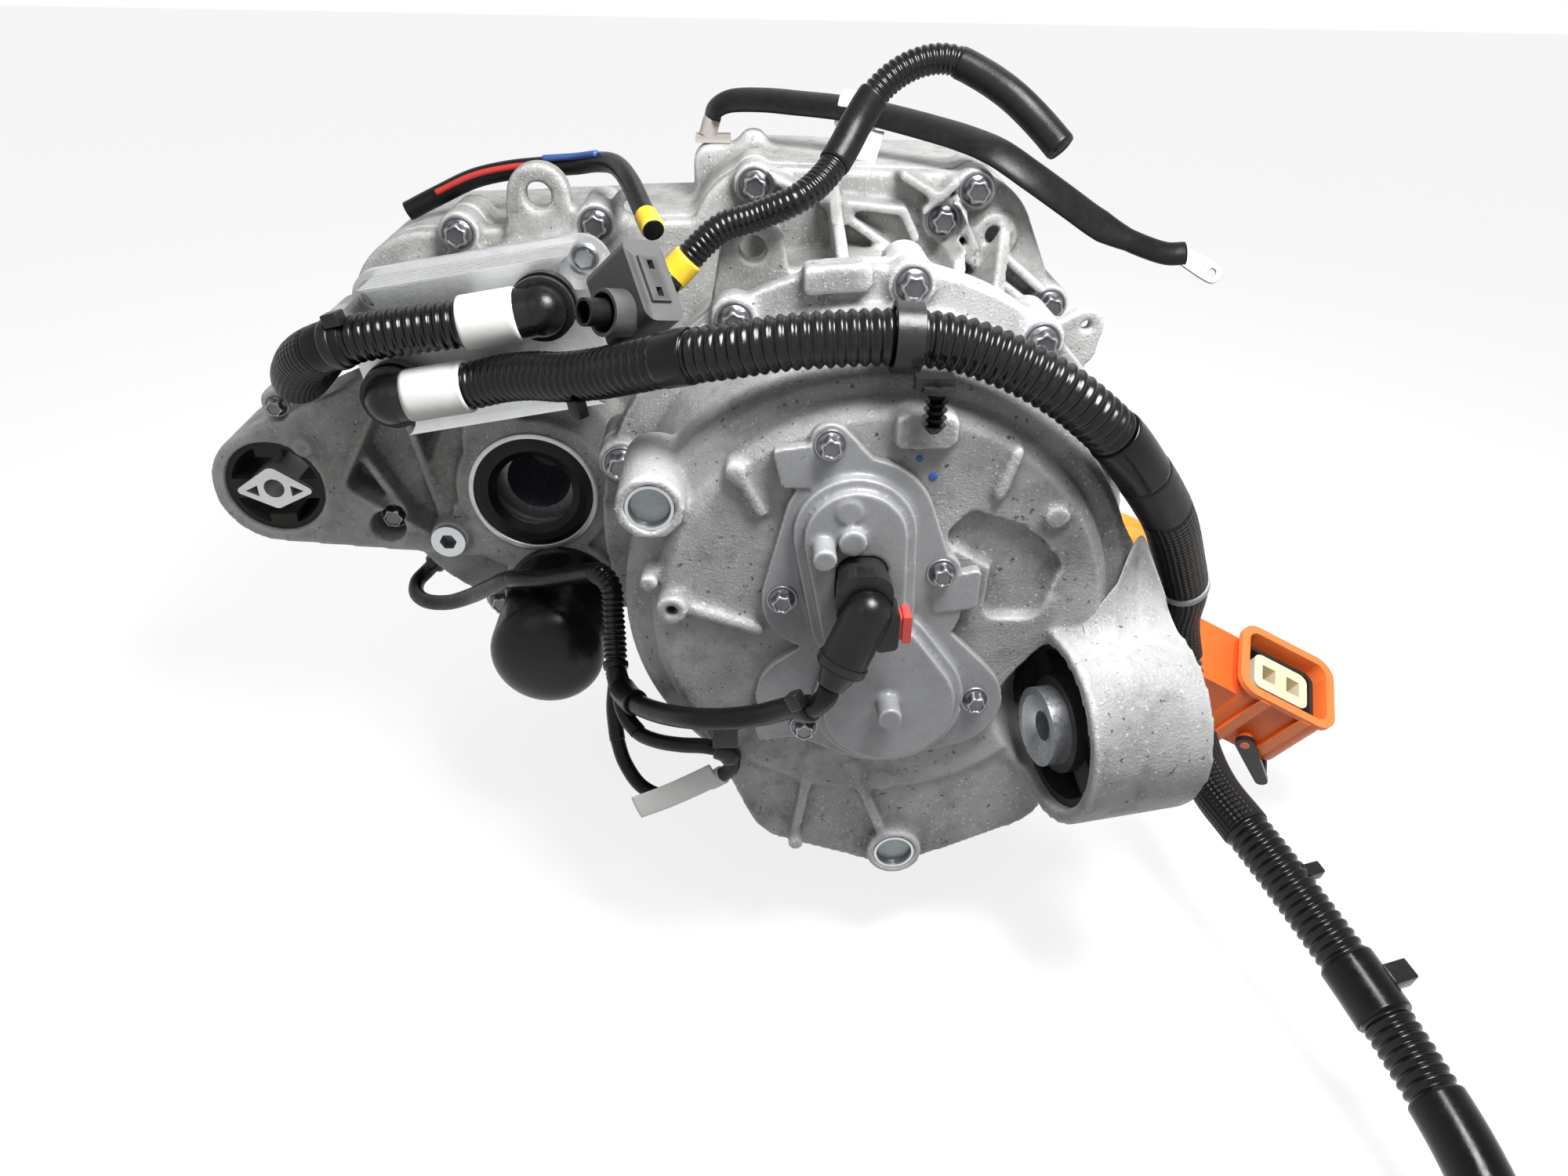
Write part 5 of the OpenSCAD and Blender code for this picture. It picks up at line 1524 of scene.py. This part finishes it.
    # Half sizes of the strap, and the stretch at its end that is shrunk on to the lug
    STRAP_HALF: ClassVar[tuple[float, float]] = (8.4, 2.7)
    SHRUNK_CHANGE: ClassVar[tuple[float, float]] = (-2.6, 1.0)
    SHRUNK_LENGTH: ClassVar[float] = 45.0
    SHRUNK_TAPER: ClassVar[float] = 15.0
    STRAP_SIDE: ClassVar[Point] = (0.0, 0.52, 0.855)
    LUG_START: ClassVar[Point] = (155.0, 160.0, 113.0)
    LUG_AHEAD: ClassVar[Point] = (0.86, -0.28, -0.42)
    HV_SIDE: ClassVar[Point] = (0.321, 0.904, 0.282)

    COOLANT: ClassVar[tuple[Point, ...]] = (
        (-191.6, 90, 66.9), (-177, 90, 69.5), (-162, 84, 75), (-147, 74, 80), (-132, 62, 84),
        (-116, 50, 90), (-100, 36, 98), (-82, 24, 106), (-62, 15, 112), (-42, 10, 117),
        (-20, 8, 119.5), (2, 8, 120), (22, 8, 117.5), (42, 6, 111), (60, 4, 102), (75, 4, 91),
        (88, 8, 79), (100, 15, 65), (112, 23, 50), (124, 32, 33), (137, 45, 9), (149, 58, -16),
        (154, 68, -40), (161, 70, -63), (165, 58, -83), (166, 38, -97), (168, 16, -103),
        (174, -6, -106), (181, -28, -110), (188, -50, -115), (195, -74, -120), (201, -98, -125),
        (205, -122, -129), (208, -146, -133), (209, -170, -138), (209, -194, -143),
    )
    UPPER: ClassVar[tuple[Point, ...]] = (
        (-165.8, 90, 99.7), (-180, 90, 97.2), (-196, 90, 95), (-212, 90, 92.6), (-227, 91, 89.5),
        (-241, 95, 84.5), (-253, 102, 77), (-262, 112, 67), (-268, 125, 58), (-270, 141, 54),
        (-270, 160, 54.5), (-270, 180, 56), (-270, 200, 56),
    )
    CONDUIT: ClassVar[tuple[Point, ...]] = (
        (-94.5, 81, 119), (-89.5, 85.6, 117.4), (-85.9, 88.9, 120.3), (-67.9, 91.1, 137.5),
        (-52, 91.1, 143.4), (-35, 89, 151), (-24, 97, 158), (-16, 107, 167), (-10, 115, 176),
        (-3, 120, 186), (6, 123, 194), (17, 125, 199), (29, 125, 200), (42, 121, 195),
        (54, 115, 188), (65, 109, 179), (74, 101, 170),
    )
    STRAP: ClassVar[tuple[Point, ...]] = (
        (-73.3, 236, 160.2), (-71.4, 236, 165), (-63, 234, 169), (-46, 230, 170),
        (-30, 225, 169.5), (-14, 219, 169), (2, 212, 168), (18, 202, 166), (34, 191, 163.5),
        (48, 180, 161), (62, 167, 157), (78, 160, 148), (96, 159, 137), (114, 160, 126),
        (132, 160, 118), (148, 160, 113), (158, 160, 113),
    )
    HARNESS: ClassVar[tuple[Point, ...]] = (
        (-244, 205, -88), (-249, 205, -93), (-254, 199, -97), (-252, 188, -99), (-242, 176, -97),
        (-226, 164, -90), (-209, 150, -77), (-194, 132, -61), (-177, 113, -44), (-157, 99, -36),
        (-140, 88, -27), (-127, 78, -20), (-120, 70, -23), (-119, 64, -34), (-118, 57, -48),
        (-117, 48, -58), (-111.9, 34, -58.4), (-103.9, 18, -53.1), (-92.2, 4, -47.2),
        (-79, -8, -40.4), (-64.7, -14, -36.2), (-50.1, -18, -31.1), (-38.5, -24, -23),
        (-31, -31, -18), (-25.7, -34.8, -10.6), (-23.6, -33.9, -5.8),
    )
    BRANCH: ClassVar[tuple[Point, ...]] = (
        (-110.3, 24, -65.3), (-104.5, 17, -68.3), (-95.9, 10, -67.2), (-85, 4, -64.6),
        (-73, 0, -62.3), (-64.1, -1, -65.1), (-62.1, 0.2, -73.8), (-69, 4.5, -84.2),
        (-81.9, 10, -95.6), (-94, 14, -103.4), (-105.4, 20, -102.3), (-113.3, 27, -93.8),
        (-117.4, 34, -83.3),
    )
    LOOM: ClassVar[tuple[Point, ...]] = (
        (-226, 200, 119.6), (-210, 202, 127.2), (-192, 204, 135), (-174, 205, 139),
        (-156, 205, 141), (-140, 200, 143), (-128, 191, 146), (-118, 178, 147), (-110, 160, 143),
        (-103, 141, 135), (-97, 125, 129),
    )
    HV: ClassVar[tuple[Point, ...]] = (
        (132, 120, -20), (140, 120, -20), (148, 119, -24), (154, 118.3, -33), (158, 117.6, -44),
        (161.5, 117, -56), (162.7, 115.8, -80.4), (171.4, 113.9, -84.4),
    )
    STRAP_FLAG: ClassVar[tuple[Point, ...]] = (
        (-12, 208, 155), (-1, 203.5, 154.3), (10, 198, 153.2),
    )
    BRANCH_TAG: ClassVar[tuple[Point, ...]] = (
        (-69.9, 1.5, -79.8), (-81.2, 1, -86.2), (-93.9, 2, -94), (-106.2, 4, -101.4),
    )
    BRANCH_ROOT_UPPER: ClassVar[tuple[Point, ...]] = (
        (-105, 17.6, -68.1), (-110.3, 24, -65.3), (-113.4, 31, -61), (-114.4, 40, -58.6),
    )
    BRANCH_ROOT_LOWER: ClassVar[tuple[Point, ...]] = (
        (-116.8, 33, -85), (-117.6, 36, -80), (-118.4, 41, -71), (-117.4, 46, -61),
    )
    LOOM_RED: ClassVar[tuple[Point, ...]] = (
        (-210, 196.8, 129.4), (-192, 198.8, 137.2), (-174, 199.8, 141.2), (-156, 199.8, 143.2),
    )
    LOOM_BLUE: ClassVar[tuple[Point, ...]] = (
        (-156, 201, 145.5), (-140, 196, 147.5), (-128, 187, 150.5),
    )

    def build(self) -> None:
        """Makes every cord."""
        cords = (
            self._coolant_hose(),
            self._upper_hose(),
            self._signal_conduit(),
            self._ground_strap(),
            self._sensor_harness(),
            self._harness_branch(),
            self._top_loom(),
            self._hv_cable(-0.5),
            self._hv_cable(0.5),
        )
        for cord in cords:
            cord.build(self.frame)

    def _ridged(self) -> Profile:
        """Profile of the two coolant hoses."""
        radius = self.hose_diameter / 2 * MM
        return corrugated(radius, self.hose_pitch * MM, self.hose_groove * MM)

    def _coolant_hose(self) -> Cord:
        """The long hose, from the cooler over the bell to its fitting."""
        return Cord(
            "coolant_hose", self.COOLANT, self._ridged(), Look.HOSE, "cord_black",
            self.hose_diameter, far_end="fitting", pieces=("hose_fitting",),
            spacing=self.hose_spacing, sides=self.hose_sides,
            sleeves=(
                Sleeve("lower_white_band", -15, 13, 11.7, Look.WHITE),
                Sleeve("hose_tape_left", 130, 144, 10.9, Look.TAPE),
                Sleeve("hose_tape_right", 317, 347, 11.0, Look.TAPE),
                Sleeve("hose_sleeve", 347, 376, 11.3, Look.CABLE),
                Sleeve("hose_braid", 376, 500, 11.2, Look.BRAID),
                Sleeve("hose_tie", 441, 446, 12.0, Look.TIE_GREY),
                Sleeve("hose_braid_low", 540, 596, 11.1, Look.BRAID),
                Sleeve("hose_wrap_low", 664, 690, 11.6, Look.TAPE),
                Sleeve("hose_wrap_end", 722, 788, 11.2, Look.TAPE),
            ),
            fittings=(
                Clip("lower_hose_clip", (-125, 49.5, 75), (6, 6, 8), (1, -0.7, 0.3)),
                Clip("tail_tie_head", (210.5, -82, -117), (9, 12, 8), (0.3, -1, -0.2)),
                Clip("low_hose_clip", (194.5, -33, -108), (6, 9, 6), (0.3, -1, -0.2)),
            ),
        )

    def _upper_hose(self) -> Cord:
        """The short hose, from the cooler to its port at the arm."""
        return Cord(
            "upper_hose", self.UPPER, self._ridged(), Look.HOSE, "cord_black",
            self.hose_diameter, spacing=self.hose_spacing, sides=self.hose_sides,
            sleeves=(
                Sleeve("upper_white_band", -13, 12, 11.7, Look.WHITE),
                Sleeve("upper_tape", 62, 80, 10.9, Look.WOUND),
                Sleeve("upper_braid", 80, 192, 11.0, Look.BRAID),
                Sleeve("upper_clamp", 66, 71, 11.8, Look.PLASTIC),
            ),
            fittings=(Clip("upper_hose_clip", (-231, 86.5, 100), (8, 7, 6), (-1, 0.2, -0.3)),),
        )

    def _signal_conduit(self) -> Cord:
        """The thin corrugated conduit with its bare end."""
        sizes = (self.conduit_radius, self.conduit_pitch, self.conduit_groove)
        return Cord(
            "signal_conduit", self.CONDUIT, corrugated(*(s * MM for s in sizes)), Look.HOSE,
            "cord_black", self.conduit_diameter, far_end="bare", spacing=self.fine_spacing,
            sleeves=(
                Sleeve("conduit_yellow", 9, 22, 6.8, Look.YELLOW),
                Sleeve("conduit_wound", 97, 133, 6.8, Look.WOUND),
                Sleeve("conduit_end_wrap", 172, 237, 6.5, Look.WOUND),
            ),
        )

    def _ground_strap(self) -> Cord:
        """The flat strap with its bare tag and end lug."""
        lug = RingLug(
            "strap_end_lug", self.LUG_START, self.LUG_AHEAD, self.STRAP_SIDE,
            length=24.0, half_width=5.2, hole=2.0, thickness=1.6,
            look=Look.TINNED, slot="tinned",
        )
        flag = Strand(
            "strap_tag_flag", self.STRAP_FLAG, 8.0, 0.4, Look.WHITE, aside=self.STRAP_SIDE
        )
        return Cord(
            "ground_strap", self.STRAP, self._strap, Look.CABLE, "cord_black",
            self.strap_diameter, far_end="fitting", aside=self.STRAP_SIDE, sides=self.strap_sides,
            sleeves=(Sleeve("strap_tag", 71, 93, 9.2, Look.WHITE, flat=3.2),),
            fittings=(lug, flag),
        )

    def _sensor_harness(self) -> Cord:
        """The harness of the sensor plug, part wound and part in conduit."""
        return Cord(
            "sensor_harness", self.HARNESS, plain(self.harness_radius * MM), Look.CABLE,
            "cord_black", self.harness_diameter, spacing=self.fine_spacing,
            sleeves=(
                Sleeve("harness_wound_left", 150, 214, 4.7, Look.WOUND),
                Sleeve("harness_conduit", 214, 262, 5.6, Look.HOSE, ridge=2.7),
                Sleeve("harness_collar", 262, 266, 6.0, Look.PLASTIC),
                Sleeve("harness_conduit_low", 266, 282, 5.2, Look.HOSE, ridge=2.0),
                Sleeve("harness_wound_right", 282, 394, 4.7, Look.WOUND),
                Sleeve("harness_junction", 279, 300, 6.1, Look.WOUND),
                Sleeve("harness_clip_band", 394, 401, 5.7, Look.PLASTIC),
            ),
            fittings=(Clip("harness_clip", (-36.5, -33, -12.5), (6, 6, 7), (0.6, -0.4, 0.5)),),
        )

    def _harness_branch(self) -> Cord:
        """The branch that leaves the harness at its taped junction."""
        return Cord(
            "harness_branch", self.BRANCH, plain(self.branch_radius * MM), Look.WOUND,
            "cord_black", self.branch_diameter,
            sleeves=(
                Sleeve("branch_clip_band", 50, 60, 4.8, Look.PLASTIC),
                Sleeve("branch_tag_band", 74, 84, 4.2, Look.WHITE),
            ),
            fittings=(
                Strand("branch_root_upper", self.BRANCH_ROOT_UPPER, 3.8, 3.8, Look.WOUND),
                Strand("branch_root_lower", self.BRANCH_ROOT_LOWER, 3.7, 3.7, Look.WOUND),
                Strand("branch_tag", self.BRANCH_TAG, 5.4, 0.7, Look.WHITE, aside=(0.2, 0.3, 0.9)),
                Clip("branch_clip", (-65, -4, -53.9), (11, 3, 11), (1, 0, 0)),
            ),
        )

    def _top_loom(self) -> Cord:
        """The loom on top of the gearbox, with two bare wires."""
        return Cord(
            "top_loom", self.LOOM, plain(self.loom_radius * MM), Look.WOUND, "cord_black",
            self.loom_diameter,
            sleeves=(Sleeve("loom_yellow", 170, 182, 5.4, Look.YELLOW),),
            fittings=(
                Strand("loom_red_wire", self.LOOM_RED, 1.5, 1.5, Look.WIRE_RED),
                Strand("loom_blue_wire", self.LOOM_BLUE, 1.7, 1.7, Look.WIRE_BLUE),
            ),
        )

    def _strap(self, distance: float, total: float) -> tuple[float, float]:
        """Half width and height of the strap, narrow where its end is shrunk on to the lug."""
        inside = distance - total + self.SHRUNK_LENGTH * MM
        narrow = clamped(inside / (self.SHRUNK_TAPER * MM))
        pairs = zip(self.STRAP_HALF, self.SHRUNK_CHANGE)
        wide, high = ((half + change * narrow) * MM for half, change in pairs)
        return (wide, high)

    def _hv_cable(self, side: float) -> Cord:
        """One of the two high-voltage cables, the first of which carries the connector.

        Args:
            side: Its place across the pair, in pitches.

        Returns:
            The cable.
        """
        route = []
        for i, place in enumerate(self.HV):
            level = i < self.hv_level_points
            across = Vector((0, 1, 0)) if level else Vector(self.HV_SIDE)
            route.append(tuple(Vector(place) + across * (side * self.hv_pitch)))
        first = side < 0
        return Cord(
            "hv_cables", tuple(route), plain(self.hv_radius * MM), Look.ORANGE_CABLE, "hv_cable",
            self.hv_diameter, far_end="connector" if first else "object",
            pieces=("hv_connector", "hv_seal", "hv_insert", "hv_lever") if first else (),
        )


def main() -> None:
    """Builds the scene and reports each piece and how many there are."""
    logging.basicConfig(level=logging.INFO, format="%(name)s: %(message)s")
    random.seed(SEED)
    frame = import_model()
    Studio().build()
    Castings(frame).build()
    PaintMarks().build()
    Bolts().build()
    OilFilter().build()
    LugFairing().build()
    SealSeat().build()
    Cords(frame).build()
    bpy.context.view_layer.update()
    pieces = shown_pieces()
    for piece in pieces:
        LOG.info("piece %s", piece.name)
    LOG.info("built %d pieces", len(pieces))


if __name__ == "__main__":
    main()
